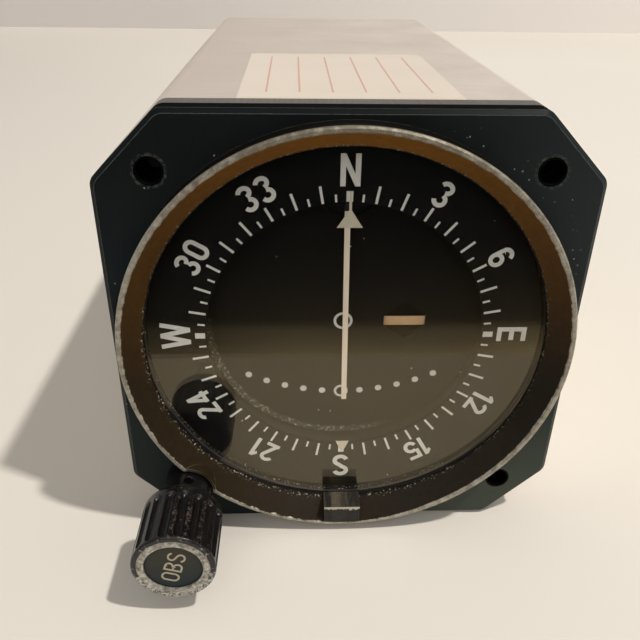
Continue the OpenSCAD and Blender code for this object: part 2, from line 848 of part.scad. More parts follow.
// Neck, rounded shoulder and body of the knob, as points of radius and depth
module obs_knob() {
    round_back = [for (a = [0 : 15 : 90])
        [neck_r + (knob_r - neck_r) * sin(a), knob_back - knob_shoulder * (1 - cos(a))]];
    round_front = [for (a = [0 : 15 : 90])
        [knob_r - knob_edge * (1 - cos(a)), knob_front + knob_edge * (1 - sin(a))]];
    groove_at = knob_r - groove_deep + groove_r;
    groove_back = knob_back - knob_shoulder - 2 * groove_r;
    groove_front = knob_front + groove_set;
    color([0.06, 0.06, 0.06]) at_knob() difference() {
        turned(concat([[shaft_r, -neck_end], [neck_r, -neck_end]], round_back, round_front,
            [[shaft_r, knob_front]]));
        rod(0, 0, knob_front - 1, knob_ring_t + 1, knob_ring_r);
        for (k = [0 : groove_n - 1]) rotate([0, k * 360 / groove_n, 0]) {
            rod(groove_at, 0, groove_front, groove_back - groove_front, groove_r);
            translate([groove_at, groove_back, 0]) sphere(r = groove_r, $fn = 24);
            translate([groove_at, groove_front, 0]) sphere(r = groove_r, $fn = 24);
        }
        set_screw_ways(neck_r + 1);
    }
}

module knob_ring() {
    color([0.75, 0.74, 0.7]) at_knob() tube(0, 0, knob_front, knob_ring_t, knob_ring_r, knob_cap_r);
}

module knob_cap() {
    t = knob_ring_t - knob_cap_set;
    color([0.14, 0.18, 0.19]) at_knob() rod(0, 0, knob_front + knob_cap_set, t, knob_cap_r);
}

// Two set screws in the neck, not quite a quarter turn apart
module set_screw_ways(reach) {
    for (a = [-80, 10]) rotate([0, a, 0]) translate([shaft_r, set_screw_y, 0]) rotate([0, 90, 0])
        cylinder(h = reach - shaft_r, r = set_screw_r);
}

module knob_set_screws() {
    color([0.3, 0.3, 0.3]) at_knob() set_screw_ways(neck_r - 0.5);
}

module obs_shaft() {
    color([0.65, 0.65, 0.67]) at_knob() rod(0, 0, shaft_front, back_plate_end - shaft_front, shaft_r);
}

// A pinion with a gap between teeth towards the dial centre, and its hub
module pinion(y, w) {
    turn = 45 + 180 / pinion_teeth;
    difference() {
        union() {
            face_plate(y, w) rotate(turn) polygon(gear_outline(pinion_teeth));
            rod(0, 0, y + w, pinion_hub_len, pinion_hub_r);
        }
        rod(0, 0, y - 1, w + 4, shaft_r);
    }
}

module drive_pinions() {
    color([0.75, 0.62, 0.3]) at_knob() {
        pinion(gear_y + 2 * pinion_over, gear_w - 2 * pinion_over);
        pinion(resolver_gear_y - pinion_over, resolver_gear_w + 2 * pinion_over);
    }
}

module compass_card() {
    color([0.03, 0.03, 0.03]) tube(0, 0, card_y, card_t, card_r, card_hole_r);
}

// Marks every five degrees: short, long, a little less long by a numeral, and four wide ones
module card_ticks() {
    color([0.78, 0.77, 0.72]) face_plate(card_y - print_t, print_t) for (k = [0 : 71]) {
        main = k % 18 == 0;
        short = k % 2 == 1;
        len = main ? tick_main_len : short ? tick_short : k % 6 == 0 ? tick_numbered_len : tick_long;
        w = main ? tick_main_w : short ? tick_short_w : tick_w;
        rotate(-5 * k) translate([-w / 2, tick_r]) square([w, len]);
    }
}

// A tooth of each large gear points at the knob's axis
module card_gear() {
    color([0.72, 0.6, 0.32]) difference() {
        face_plate(gear_y, gear_w) rotate(225) polygon(gear_outline(card_teeth));
        rod(0, 0, gear_y - 1, gear_w + 2, bearing_r + run_gap);
    }
}

module resolver_gear() {
    y = resolver_gear_y;
    color([0.72, 0.6, 0.32]) difference() {
        union() {
            face_plate(y, resolver_gear_w) rotate(225) polygon(gear_outline(card_teeth));
            rod(0, 0, y - 1, 1, gear_hub_r);
        }
        rod(0, 0, y - 2, resolver_gear_w + 4, shaft_r);
        for (a = [0 : 72 : 288])
            rod(gear_hole_at * cos(a), gear_hole_at * sin(a), y - 1, resolver_gear_w + 2, gear_hole_r);
    }
}

module resolver_shaft() {
    front = resolver_gear_y - 1.6;
    color([0.65, 0.65, 0.67]) rod(0, 0, front, back_plate_end + resolver_shaft_in - front, shaft_r);
}

module deviation_needle() {
    color([0.8, 0.72, 0.6]) at_pivot() difference() {
        face_plate(needle_y, needle_t) union() {
            circle(r = needle_hub_r);
            translate([-needle_w / 2, -needle_len]) square([needle_w, needle_len]);
            translate([-needle_tail_w / 2, 0]) square([needle_tail_w, needle_tail]);
        }
        rod(0, 0, needle_y - 1, needle_t + 2, pin_r);
    }
}

module needle_weight() {
    color([0.75, 0.62, 0.3]) at_pivot() rod(0, weight_at, needle_y + needle_t, weight_t, weight_r);
}

// A rectangular coil with a pivot pin in front and another behind
module needle_coil() {
    high = 2 * coil_side;
    color([0.65, 0.35, 0.2]) at_pivot() {
        difference() {
            translate([-coil_half, meter_y, -high / 2]) cube([2 * coil_half, coil_len, high]);
            translate([-coil_half + coil_side, meter_y + coil_wall, -high])
                cube([2 * coil_half - 2 * coil_side, coil_len - 2 * coil_wall, 2 * high]);
        }
        rod(0, 0, needle_y, meter_y - needle_y + tiny, pin_r);
        rod(0, 0, coil_end - tiny, bridge_y + bridge_t - coil_end, pin_r);
    }
}

module flag_sector(inner, outer, spread) {
    intersection() {
        difference() {
            circle(r = outer);
            circle(r = inner);
        }
        polygon([[0, 0], 2 * outer * [cos(spread), -sin(spread)], 2 * outer * [cos(spread), sin(spread)]]);
    }
}

module flag_vane() {
    inner = flag_reach - window_w / 2 - 1.4;
    outer = flag_reach + window_w / 2 + 1;
    arm_w = 2.4;
    tail = 6;
    tail_w = 3.2;
    hub_r = 2.2;
    color([0.04, 0.04, 0.04]) translate([flag_x, 0, 0]) difference() {
        face_plate(vane_y, vane_t) union() {
            flag_sector(inner, outer, 2 * flag_turn - 2);
            translate([0, -arm_w / 2]) square([inner + 0.5, arm_w]);
            circle(r = hub_r);
            translate([-tail, -tail_w / 2]) square([tail, tail_w]);
        }
        rod(0, 0, vane_y - 1, vane_t + 2, pin_r);
    }
}

// The bar shows when the set is off. Two arrows lie above and below it.
module flag_patches() {
    bar_z = -0.5;
    w = window_w / 2 + 0.8;
    arrow_w = 5.6;
    arrow_foot = 1;
    arrow_tip = 2.2;
    color([0.78, 0.62, 0.42]) translate([flag_x, 0, 0]) face_plate(vane_y - print_t, print_t) {
        translate([flag_reach - w, bar_z - flag_bar_h / 2]) square([2 * w, flag_bar_h]);
        for (s = [-1, 1]) rotate(s * flag_turn) translate([flag_reach, 0])
            polygon([[-arrow_w / 2, -arrow_foot * s], [arrow_w / 2, -arrow_foot * s], [0, arrow_tip * s]]);
    }
}

// Shaft and round magnet of the flag's movement
module flag_rotor() {
    set_in = 0.6;
    front = flag_coil_y + set_in;
    color([0.4, 0.4, 0.42]) translate([flag_x, 0, 0]) {
        rod(0, 0, vane_y, flag_bridge_y + bridge_t - vane_y, pin_r);
        difference() {
            rod(0, 0, front, flag_coil_len - 2 * set_in, flag_rotor_r);
            rod(0, 0, front - 1, flag_coil_len + 2, pin_r);
        }
    }
}

bezel_flange();
bezel_ring();
badge_block();
lens_glass();
lens_gasket();
lens_retainer();
index_marks();
front_frame();
mount_nuts();
shaft_bushes();
card_bearing_ring();
card_retainer();
mask_plate();
mask_marks();
mask_standoffs();
frame_pillars();
movement_plate();
jewel_bushes();
meter_magnet();
meter_core();
bridge_posts();
meter_bridge();
hairspring();
flag_coil();
flag_bridge();
plate_spacers();
resolver_plate();
resolver_body();
resolver_clamps();
chassis_rails();
circuit_board();
capacitors();
small_components();
trimmers();
case_sleeve();
case_label();
rear_cover();
case_screws();
connector_shell();
connector_insert();
connector_pins();
obs_knob();
knob_ring();
knob_cap();
knob_set_screws();
obs_shaft();
drive_pinions();
compass_card();
card_ticks();
card_gear();
resolver_gear();
resolver_shaft();
deviation_needle();
needle_weight();
needle_coil();
flag_vane();
flag_patches();
flag_rotor();
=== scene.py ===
# %% [markdown]
# A course deviation indicator, dressed for a product photograph.
#
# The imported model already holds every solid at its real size. This lesson gives each of
# them a finish, prints the dial, and sets up a table, lights and a camera. Everything is
# in metres: +X is right, +Y runs back into the case and +Z is up the dial.

# %% Load the frame
import json
import math

import bpy
from mathutils import Matrix, Vector
from mathutils.geometry import delaunay_2d_cdt


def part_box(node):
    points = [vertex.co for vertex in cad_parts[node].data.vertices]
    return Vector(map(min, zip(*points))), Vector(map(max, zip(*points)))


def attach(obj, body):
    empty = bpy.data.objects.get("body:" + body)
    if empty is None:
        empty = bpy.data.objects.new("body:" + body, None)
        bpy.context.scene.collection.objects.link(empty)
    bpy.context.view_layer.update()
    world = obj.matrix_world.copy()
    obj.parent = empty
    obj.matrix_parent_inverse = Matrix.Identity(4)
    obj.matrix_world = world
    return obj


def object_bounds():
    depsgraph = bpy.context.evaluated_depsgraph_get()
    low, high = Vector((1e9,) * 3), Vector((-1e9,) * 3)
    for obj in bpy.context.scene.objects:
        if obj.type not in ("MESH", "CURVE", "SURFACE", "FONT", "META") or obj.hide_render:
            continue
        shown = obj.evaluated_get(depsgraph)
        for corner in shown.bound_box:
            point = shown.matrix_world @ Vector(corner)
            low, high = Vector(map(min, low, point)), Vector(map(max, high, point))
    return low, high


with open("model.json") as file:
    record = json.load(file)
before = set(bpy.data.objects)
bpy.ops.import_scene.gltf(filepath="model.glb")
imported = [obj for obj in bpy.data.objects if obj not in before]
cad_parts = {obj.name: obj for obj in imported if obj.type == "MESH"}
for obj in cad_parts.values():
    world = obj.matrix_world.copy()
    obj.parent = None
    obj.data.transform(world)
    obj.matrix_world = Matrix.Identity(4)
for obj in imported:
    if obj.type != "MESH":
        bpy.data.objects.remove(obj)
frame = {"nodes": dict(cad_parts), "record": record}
cad_low, cad_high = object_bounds()
nodes = frame["nodes"]
MM = 0.001
print("nodes:", len(nodes), "size in mm:", [round(side / MM, 1) for side in cad_high - cad_low])

# %% [markdown]
# A camera is a place, a direction and a lens. The place and the three angles were found by
# matching the dial's tick marks and the flange's screw holes to the photograph. The camera
# looks down at the dial from a little above, and leans slightly to one side.

# %% Camera
CAMERA_PLACE = Vector((-9.08, -103.74, 63.02)) * MM
CAMERA_TURN = 2.40
CAMERA_DIP = 29.14
CAMERA_LEAN = 0.88
LENS_MM = 38.55


def make_camera():
    turn, dip, lean = (math.radians(a) for a in (CAMERA_TURN, CAMERA_DIP, CAMERA_LEAN))
    ahead = Vector((math.sin(turn) * math.cos(dip), math.cos(turn) * math.cos(dip), -math.sin(dip)))
    level = ahead.cross(Vector((0, 0, 1))).normalized()
    above = level.cross(ahead)
    right = level * math.cos(lean) + above * math.sin(lean)
    up = right.cross(ahead)
    camera = bpy.data.objects.new("camera", bpy.data.cameras.new("camera"))
    turned = Matrix((right, up, -ahead)).transposed().to_4x4()
    camera.matrix_world = Matrix.Translation(CAMERA_PLACE) @ turned
    camera.data.lens = LENS_MM
    camera.data.clip_start = 1 * MM
    bpy.context.scene.collection.objects.link(camera)
    bpy.context.scene.camera = camera
    print("camera looks", [round(c, 3) for c in ahead])


make_camera()

# %% [markdown]
# A material is a graph of shader nodes. Small helpers keep the graphs readable: one adds a
# node and fills its sockets by name, some do arithmetic, one maps a range of numbers to
# another range, and one mixes two colours by a mask. A socket is filled with a plain value,
# or linked if it is given another node's output. Colours are written as a screen shows them.

# %% Helpers for node graphs
MIX_FACTOR, MIX_A, MIX_B, MIX_RESULT = 0, 6, 7, 2


def is_socket(value):
    return isinstance(value, bpy.types.NodeSocket)


def put(tree, kind, inputs=None, **settings):
    """Adds a node. Values in inputs are set, and sockets in inputs are linked."""
    node = tree.nodes.new("ShaderNode" + kind)
    for name, value in settings.items():
        setattr(node, name, value)
    for name, value in (inputs or {}).items():
        if is_socket(value):
            tree.links.new(value, node.inputs[name])
        else:
            node.inputs[name].default_value = value
    return node


def calc(operation, first, second=0.0, clamp=False):
    """One step of arithmetic. At least one of the two is a socket, and its tree gets the node."""
    tree = (first if is_socket(first) else second).id_data
    return put(tree, "Math", {0: first, 1: second}, operation=operation, use_clamp=clamp).outputs[0]


def times(first, second):
    return calc("MULTIPLY", first, second)


def plus(first, second):
    return calc("ADD", first, second)


def minus(first, second):
    return calc("SUBTRACT", first, second)


def most(first, second):
    return calc("MAXIMUM", first, second)


def ramp(value, start, end, low=0.0, high=1.0):
    """Maps value from start..end to low..high, and holds it there outside."""
    inputs = {"Value": value, "From Min": start, "From Max": end, "To Min": low, "To Max": high}
    return put(value.id_data, "MapRange", inputs).outputs["Result"]


def blend(mask, first, second):
    """A colour between two, by a mask. A Mix node numbers its sockets for colours like this."""
    inputs = {MIX_FACTOR: mask, MIX_A: first, MIX_B: second}
    return put(mask.id_data, "Mix", inputs, data_type="RGBA").outputs[MIX_RESULT]


def split(vector):
    return put(vector.id_data, "SeparateXYZ", {"Vector": vector}).outputs


def object_place(tree):
    """The object's own coordinates in metres, which stay with a piece that moves."""
    return put(tree, "TexCoord").outputs["Object"]


def noise(place, scale, detail=2.0, roughness=0.5):
    inputs = {"Vector": place, "Scale": scale, "Detail": detail, "Roughness": roughness}
    return put(place.id_data, "TexNoise", inputs).outputs["Fac"]


def shade(*rgb255):
    """A colour as it shows on a screen, 0 to 255, turned into the linear values that Blender uses."""
    linear = [(c / 255 / 12.92 if c <= 10 else ((c / 255 + 0.055) / 1.055) ** 2.4) for c in rgb255]
    return (*linear, 1.0)


print("a screen's 128 in linear light:", round(shade(128)[0], 3))

# %% [markdown]
# Effects that several finishes share are node groups. The object's own coordinates are in
# metres and stay with the piece when it moves, so every scale below is a real one.
# The first group finds edges: a bevel node bends the normal near an edge, and where it
# differs from the true normal there is an edge to wear or to light with a painted highlight.
# Noise breaks the edge up.

# %% Shared effects
FLAT_COSINE, SHARP_COSINE = 0.995, 0.86
SPECK_RAGGED = 0.3 * MM


def start_group(name, inputs, outputs):
    """An empty group with its sockets. Returns the group, its input node and its output node."""
    group = bpy.data.node_groups.new(name, "ShaderNodeTree")
    kinds = {"value": "NodeSocketFloat", "colour": "NodeSocketColor", "vector": "NodeSocketVector"}
    for label, kind, default in inputs:
        socket = group.interface.new_socket(label, in_out="INPUT", socket_type=kinds[kind])
        socket.default_value = default
    for label, kind in outputs:
        group.interface.new_socket(label, in_out="OUTPUT", socket_type=kinds[kind])
    return group, group.nodes.new("NodeGroupInput").outputs, group.nodes.new("NodeGroupOutput").inputs


def build_edge_wear_and_glint():
    """Mask: 1 on edges that are worn or carry a painted highlight. Normal: the surface with its edges
    softened.
    """
    group, given, out = start_group(
        "Edge wear",
        [("Width", "value", 0.0003), ("Breakup", "value", 900.0), ("Amount", "value", 0.5)],
        [("Mask", "value"), ("Normal", "vector")],
    )
    place = object_place(group)
    bevel = put(group, "Bevel", {"Radius": given["Width"]}, samples=6).outputs[0]
    true_normal = put(group, "NewGeometry").outputs["Normal"]
    cosine = put(group, "VectorMath", {0: bevel, 1: true_normal}, operation="DOT_PRODUCT").outputs["Value"]
    edge = ramp(cosine, FLAT_COSINE, SHARP_COSINE)
    patches = noise(place, given["Breakup"], 4.0, 0.65)
    worn = plus(times(edge, given["Amount"]), minus(patches, 0.5))
    limited = times(ramp(worn, 0.42, 0.55), ramp(edge, 0.02, 0.2))
    group.links.new(limited, out["Mask"])
    group.links.new(bevel, out["Normal"])
    return group


def build_speckle():
    """Mask: small scattered specks, as dust or nicks."""
    group, given, out = start_group(
        "Speckle",
        [("Scale", "value", 600.0), ("Size", "value", 0.12), ("Share", "value", 0.15)],
        [("Mask", "value")],
    )
    place = object_place(group)
    fine = times(given["Scale"], 5.0)
    ragged = put(group, "TexNoise", {"Vector": place, "Scale": fine}).outputs["Color"]
    push = put(group, "VectorMath", {0: ragged, "Scale": SPECK_RAGGED}, operation="SCALE").outputs[0]
    moved = put(group, "VectorMath", {0: place, 1: push}, operation="ADD").outputs[0]
    cells = put(group, "TexVoronoi", {"Vector": moved, "Scale": given["Scale"]})
    near = calc("LESS_THAN", cells.outputs["Distance"], given["Size"])
    pick = put(group, "SeparateColor", {"Color": cells.outputs["Color"]}).outputs["Red"]
    chosen = calc("LESS_THAN", pick, given["Share"])
    group.links.new(times(near, chosen), out["Mask"])
    return group


def build_mottle():
    """Color: two colours clouded into each other. Value: the cloud itself."""
    group, given, out = start_group(
        "Mottle",
        [("Color A", "colour", (0.0, 0.0, 0.0, 1.0)), ("Color B", "colour", (1.0, 1.0, 1.0, 1.0)),
         ("Scale", "value", 100.0), ("Contrast", "value", 0.3)],
        [("Color", "colour"), ("Value", "value")],
    )
    place = object_place(group)
    cloud = noise(place, given["Scale"], 5.0, 0.6)
    low = minus(0.5, given["Contrast"])
    high = plus(0.5, given["Contrast"])
    spread = ramp(cloud, low, high)
    group.links.new(blend(spread, given["Color A"], given["Color B"]), out["Color"])
    group.links.new(spread, out["Value"])
    return group


def build_streaks():
    """Value: fine lines along the direction in which Grain is smallest."""
    group, given, out = start_group(
        "Streaks", [("Grain", "vector", (1.0, 1.0, 1.0)), ("Scale", "value", 500.0)], [("Value", "value")]
    )
    place = object_place(group)
    pulled = put(group, "VectorMath", {0: place, 1: given["Grain"]}, operation="MULTIPLY").outputs[0]
    group.links.new(noise(pulled, given["Scale"], 3.0, 0.6), out["Value"])
    return group


def build_round():
    """Radius: distance in metres from an axis along Y. Angle: -1 to 1 round it."""
    group, given, out = start_group(
        "Round", [("Centre", "vector", (0.0, 0.0, 0.0))], [("Radius", "value"), ("Angle", "value")]
    )
    place = object_place(group)
    from_centre = put(group, "VectorMath", {0: place, 1: given["Centre"]}, operation="SUBTRACT").outputs[0]
    axes = split(from_centre)
    squares = [times(axes[a], axes[a]) for a in ("X", "Z")]
    group.links.new(calc("SQRT", plus(*squares)), out["Radius"])
    half_turns = calc("DIVIDE", calc("ARCTAN2", axes["Z"], axes["X"]), math.pi)
    group.links.new(half_turns, out["Angle"])
    return group


EDGE_WEAR_AND_GLINT, SPECKLE, MOTTLE = build_edge_wear_and_glint(), build_speckle(), build_mottle()
STREAKS, ROUND = build_streaks(), build_round()
print("shared effects:", [g.name for g in bpy.data.node_groups])


def effect(tree, group, **inputs):
    """Places a shared effect in a material. Input names are written with _ for a space."""
    named = {name.replace("_", " "): value for name, value in inputs.items()}
    return put(tree, "Group", named, node_tree=group).outputs


def clouds(tree, first, second, scale, contrast=0.3):
    return effect(tree, MOTTLE, Color_A=first, Color_B=second, Scale=scale, Contrast=contrast)


# %% [markdown]
# Every finish starts from the same few lines: a new material whose Principled shader has
# its plain values set, and a function that links what varies over the surface. Worn places,
# and painted light and shade, are found by where they lie on the piece.

# %% Start of a finish
SMOOTHER, ROUGHER = 0.06, 0.08


def start_finish(name, **plain):
    """A material and its tree, with the Principled shader's constant values set by name."""
    material = bpy.data.materials.new(name)
    material.use_nodes = True
    tree = material.node_tree
    shader = tree.nodes["Principled BSDF"]
    for socket, value in plain.items():
        shader.inputs[socket.replace("_", " ")].default_value = value
    return material, tree, shader


def bump(shader, height, distance, normal=None):
    """Feeds a height in 0..1, worth distance in metres, to the shader's normal."""
    inputs = {"Height": height, "Distance": distance, "Strength": 1.0}
    if normal is not None:
        inputs["Normal"] = normal
    feed(shader, Normal=put(shader.id_data, "Bump", inputs).outputs["Normal"])


def feed(shader, **sockets):
    """Links sockets to the shader's inputs, named with _ for a space."""
    for name, socket in sockets.items():
        shader.id_data.links.new(socket, shader.inputs[name.replace("_", " ")])


def where(tree):
    """The object's own X, Y and Z in metres."""
    return split(object_place(tree))


def facing(tree):
    """X, Y and Z of the direction that the surface faces."""
    return split(put(tree, "NewGeometry").outputs["True Normal"])


def toward(tree, x_from, x_to, z_from, z_to):
    """1 past x_to and past z_to, falling to 0 at x_from and at z_from."""
    axes = where(tree)
    return times(ramp(axes["X"], x_from, x_to), ramp(axes["Z"], z_from, z_to))


def uneven(value, start, end, roughness):
    """A roughness that follows a pattern, a little to both sides of its middle value."""
    return ramp(value, start, end, roughness - SMOOTHER, roughness + ROUGHER)


def clouded_paint(name, first, second, scale, contrast=0.3, **plain):
    """A finish of two tones clouded into each other, and nothing else."""
    material, tree, shader = start_finish(name, **plain)
    cloud = clouds(tree, first, second, scale, contrast)
    feed(shader, Base_Color=cloud["Color"])
    return material


finishes = {}


def finish(slot, name, **plain):
    """Starts the material of a slot, and has the function below it do the painting."""
    def keep(paint):
        finishes[slot], tree, shader = start_finish(name, **plain)
        paint(tree, shader)
        print("finish:", slot)
        return paint
    return keep


# %% [markdown]
# The flange is satin black enamel with a blue-green cast. Enamel on a flat face is never
# quite flat, so a fine grain lifts it. Painted shade makes it darkest at the top, and a
# painted sheen, for the bright table's reflection, makes it paler to the right and at the
# bottom. Its sides and the insides of its screw holes are painted near-black as shade. Its
# front edges carry painted highlight lines, the rims of its screw holes have been rubbed to
# a paler grey, and the face has specks, a few fine scratches, and chips beside the ring.

# %% Flange enamel
FLANGE_DARK, FLANGE_LIGHT = shade(20, 25, 27), shade(31, 37, 38)
FLANGE_SHEEN = shade(46, 51, 50)
FLANGE_TOP_SHADE, FLANGE_LOW_SHEEN = shade(9, 10, 10), shade(64, 69, 61)
FLANGE_SIDE_SHADE = shade(3, 3, 3)
FLANGE_EDGE_GLINT = shade(112, 118, 114)
SPECK_COLOUR = shade(120, 122, 116)
HOLE_SHADE, HOLE_WORN = shade(2, 2, 2), shade(64, 67, 63)
HOLE_AT = 31.43 * MM
HOLE_R, HOLE_WORN_R, NUT_PLACE_R = 2.35 * MM, 2.85 * MM, 3.6 * MM
FLANGE_SHEEN_SLANT, FLANGE_SHEEN_FROM, FLANGE_SHEEN_TO = 0.35, -10 * MM, 45 * MM
TOP_SHADE_FROM, TOP_SHADE_TO = 12 * MM, 34 * MM
TOP_LEFT_OF, TOP_RIGHT_OF = 8 * MM, 34 * MM
LOW_LEFT_SHEEN = (-24 * MM, -36 * MM, 12 * MM, -20 * MM)
LOW_RIGHT_SHEEN = (4 * MM, 20 * MM, -10 * MM, -33 * MM)
CHIPS_FROM_R, CHIPS_TO_R = 43.5 * MM, 40.5 * MM
CHIPS_FROM_X, CHIPS_TO_X = 14 * MM, 20 * MM


def in_screw_hole(tree, radius):
    """1 inside the screw holes, which lie the same way from the middle in every corner."""
    axes = where(tree)
    squares = []
    for axis in ("X", "Z"):
        offset = minus(calc("ABSOLUTE", axes[axis]), HOLE_AT)
        squares.append(times(offset, offset))
    return calc("LESS_THAN", calc("SQRT", plus(*squares)), radius)


def faces_sideways(tree):
    """1 on faces that look up, down, left or right, and 0 on faces that look to the front or back."""
    return ramp(calc("ABSOLUTE", facing(tree)["Y"]), 0.3, 0.1)


@finish("flange_black", "flange enamel", Roughness=0.4, Specular_IOR_Level=0.05)
def flange_enamel(tree, shader):
    axes = where(tree)
    cloud = clouds(tree, FLANGE_DARK, FLANGE_LIGHT, 45.0, 0.28)
    # Painted sheen, for the bright table's reflection: paler to the right.
    slanted = minus(axes["X"], times(axes["Z"], FLANGE_SHEEN_SLANT))
    sheen_right = ramp(slanted, FLANGE_SHEEN_FROM, FLANGE_SHEEN_TO, 0.0, 0.8)
    tone = blend(sheen_right, cloud["Color"], FLANGE_SHEEN)
    # Painted shade: darker at the top, less so to the right.
    high = ramp(axes["Z"], TOP_SHADE_FROM, TOP_SHADE_TO, 0.0, 0.55)
    top_shade = times(high, ramp(axes["X"], TOP_LEFT_OF, TOP_RIGHT_OF, 1.0, 0.15))
    tone = blend(top_shade, tone, FLANGE_TOP_SHADE)
    # Painted sheen at the lower left and the lower right.
    tone = blend(times(toward(tree, *LOW_LEFT_SHEEN), 0.6), tone, FLANGE_SHEEN)
    tone = blend(toward(tree, *LOW_RIGHT_SHEEN), tone, FLANGE_LOW_SHEEN)
    edge = effect(tree, EDGE_WEAR_AND_GLINT, Width=0.28 * MM, Breakup=1500.0, Amount=1.15)
    specks = effect(tree, SPECKLE, Scale=900.0, Size=0.13, Share=0.07)["Mask"]
    streaks = effect(tree, STREAKS, Grain=(1.0, 1.0, 0.04), Scale=2600.0)["Value"]
    marks = most(specks, ramp(streaks, 0.74, 0.78, 0.0, 0.35))
    chips = effect(tree, SPECKLE, Scale=1500.0, Size=0.24, Share=0.14)["Mask"]
    near_ring = ramp(effect(tree, ROUND)["Radius"], CHIPS_FROM_R, CHIPS_TO_R)
    by_ring = times(near_ring, ramp(axes["X"], CHIPS_FROM_X, CHIPS_TO_X))
    marks = most(marks, times(chips, by_ring))
    rim_noise = noise(object_place(tree), 1400.0, 5.0, 0.7)
    hole_rim = times(in_screw_hole(tree, HOLE_WORN_R), ramp(rim_noise, 0.46, 0.64))
    tone = blend(hole_rim, tone, HOLE_WORN)
    # Painted highlight lines along the front edges.
    colour = blend(edge["Mask"], blend(marks, tone, SPECK_COLOUR), FLANGE_EDGE_GLINT)
    # Painted shade: the faces that look up, down, left or right are near-black.
    side = faces_sideways(tree)
    shaded_sides = blend(side, colour, FLANGE_SIDE_SHADE)
    # Painted shade fills the screw holes.
    feed(shader, Base_Color=blend(in_screw_hole(tree, HOLE_R), shaded_sides, HOLE_SHADE))
    satin = ramp(cloud["Value"], 0.0, 1.0, 0.36, 0.5)
    feed(shader, Roughness=calc("ADD", satin, times(side, 0.45), clamp=True))
    bump(shader, noise(object_place(tree), 5200.0, 2.0), 0.02 * MM, edge["Normal"])


# %% [markdown]
# The ring is the most worn piece. Its front edge is bare grey metal, chipped where it meets
# the paint, and the sloping wall inside is an old brown-black coat. Radius and depth decide
# which of the two shows, with noise to make the border ragged. It is raggedest at the lower
# left, and smooth and wider at the lower right. Painted shade dulls the bare metal towards
# the top, and a painted warm reflection makes the wall redder towards the top. The wall is
# painted black in a band next to the glass, and darker in random patches. Small pale painted
# highlights lie where the wall meets the glass, and on its edges away from the glass.

# %% Ring
BARE_METAL, BARE_DULL = shade(176, 170, 156), shade(118, 111, 97)
CONE_TOP_REFLECTION = shade(106, 69, 20)
CONE_LEFT, CONE_RIGHT = shade(42, 32, 18), shade(38, 33, 26)
RING_BLACK = shade(16, 14, 12)
RING_GLINT = shade(168, 160, 140)
BAND_IN_TOP, BAND_IN_LOW, BAND_IN_MORE = 38.38 * MM, 38.62 * MM, 0.3 * MM
BAND_BACK = -3.4 * MM
BAND_SOFT = 0.05 * MM
RAGGED_DEPTH, SMOOTH_DEPTH = 0.6 * MM, 0.2 * MM
LOW_LEFT_CHIPS, LOW_LEFT_WIDER = 1.8, 0.08 * MM
RING_LOW_RIGHT = (4 * MM, 18 * MM, 0.0, -14 * MM)
GLASS_EDGE = 35.62 * MM
GLINTS_REACH = 0.2 * MM
GLINT_FROM_R, GLINT_TO_R = 36.8 * MM, 37.4 * MM
RING_OUTSIDE = 39.15 * MM


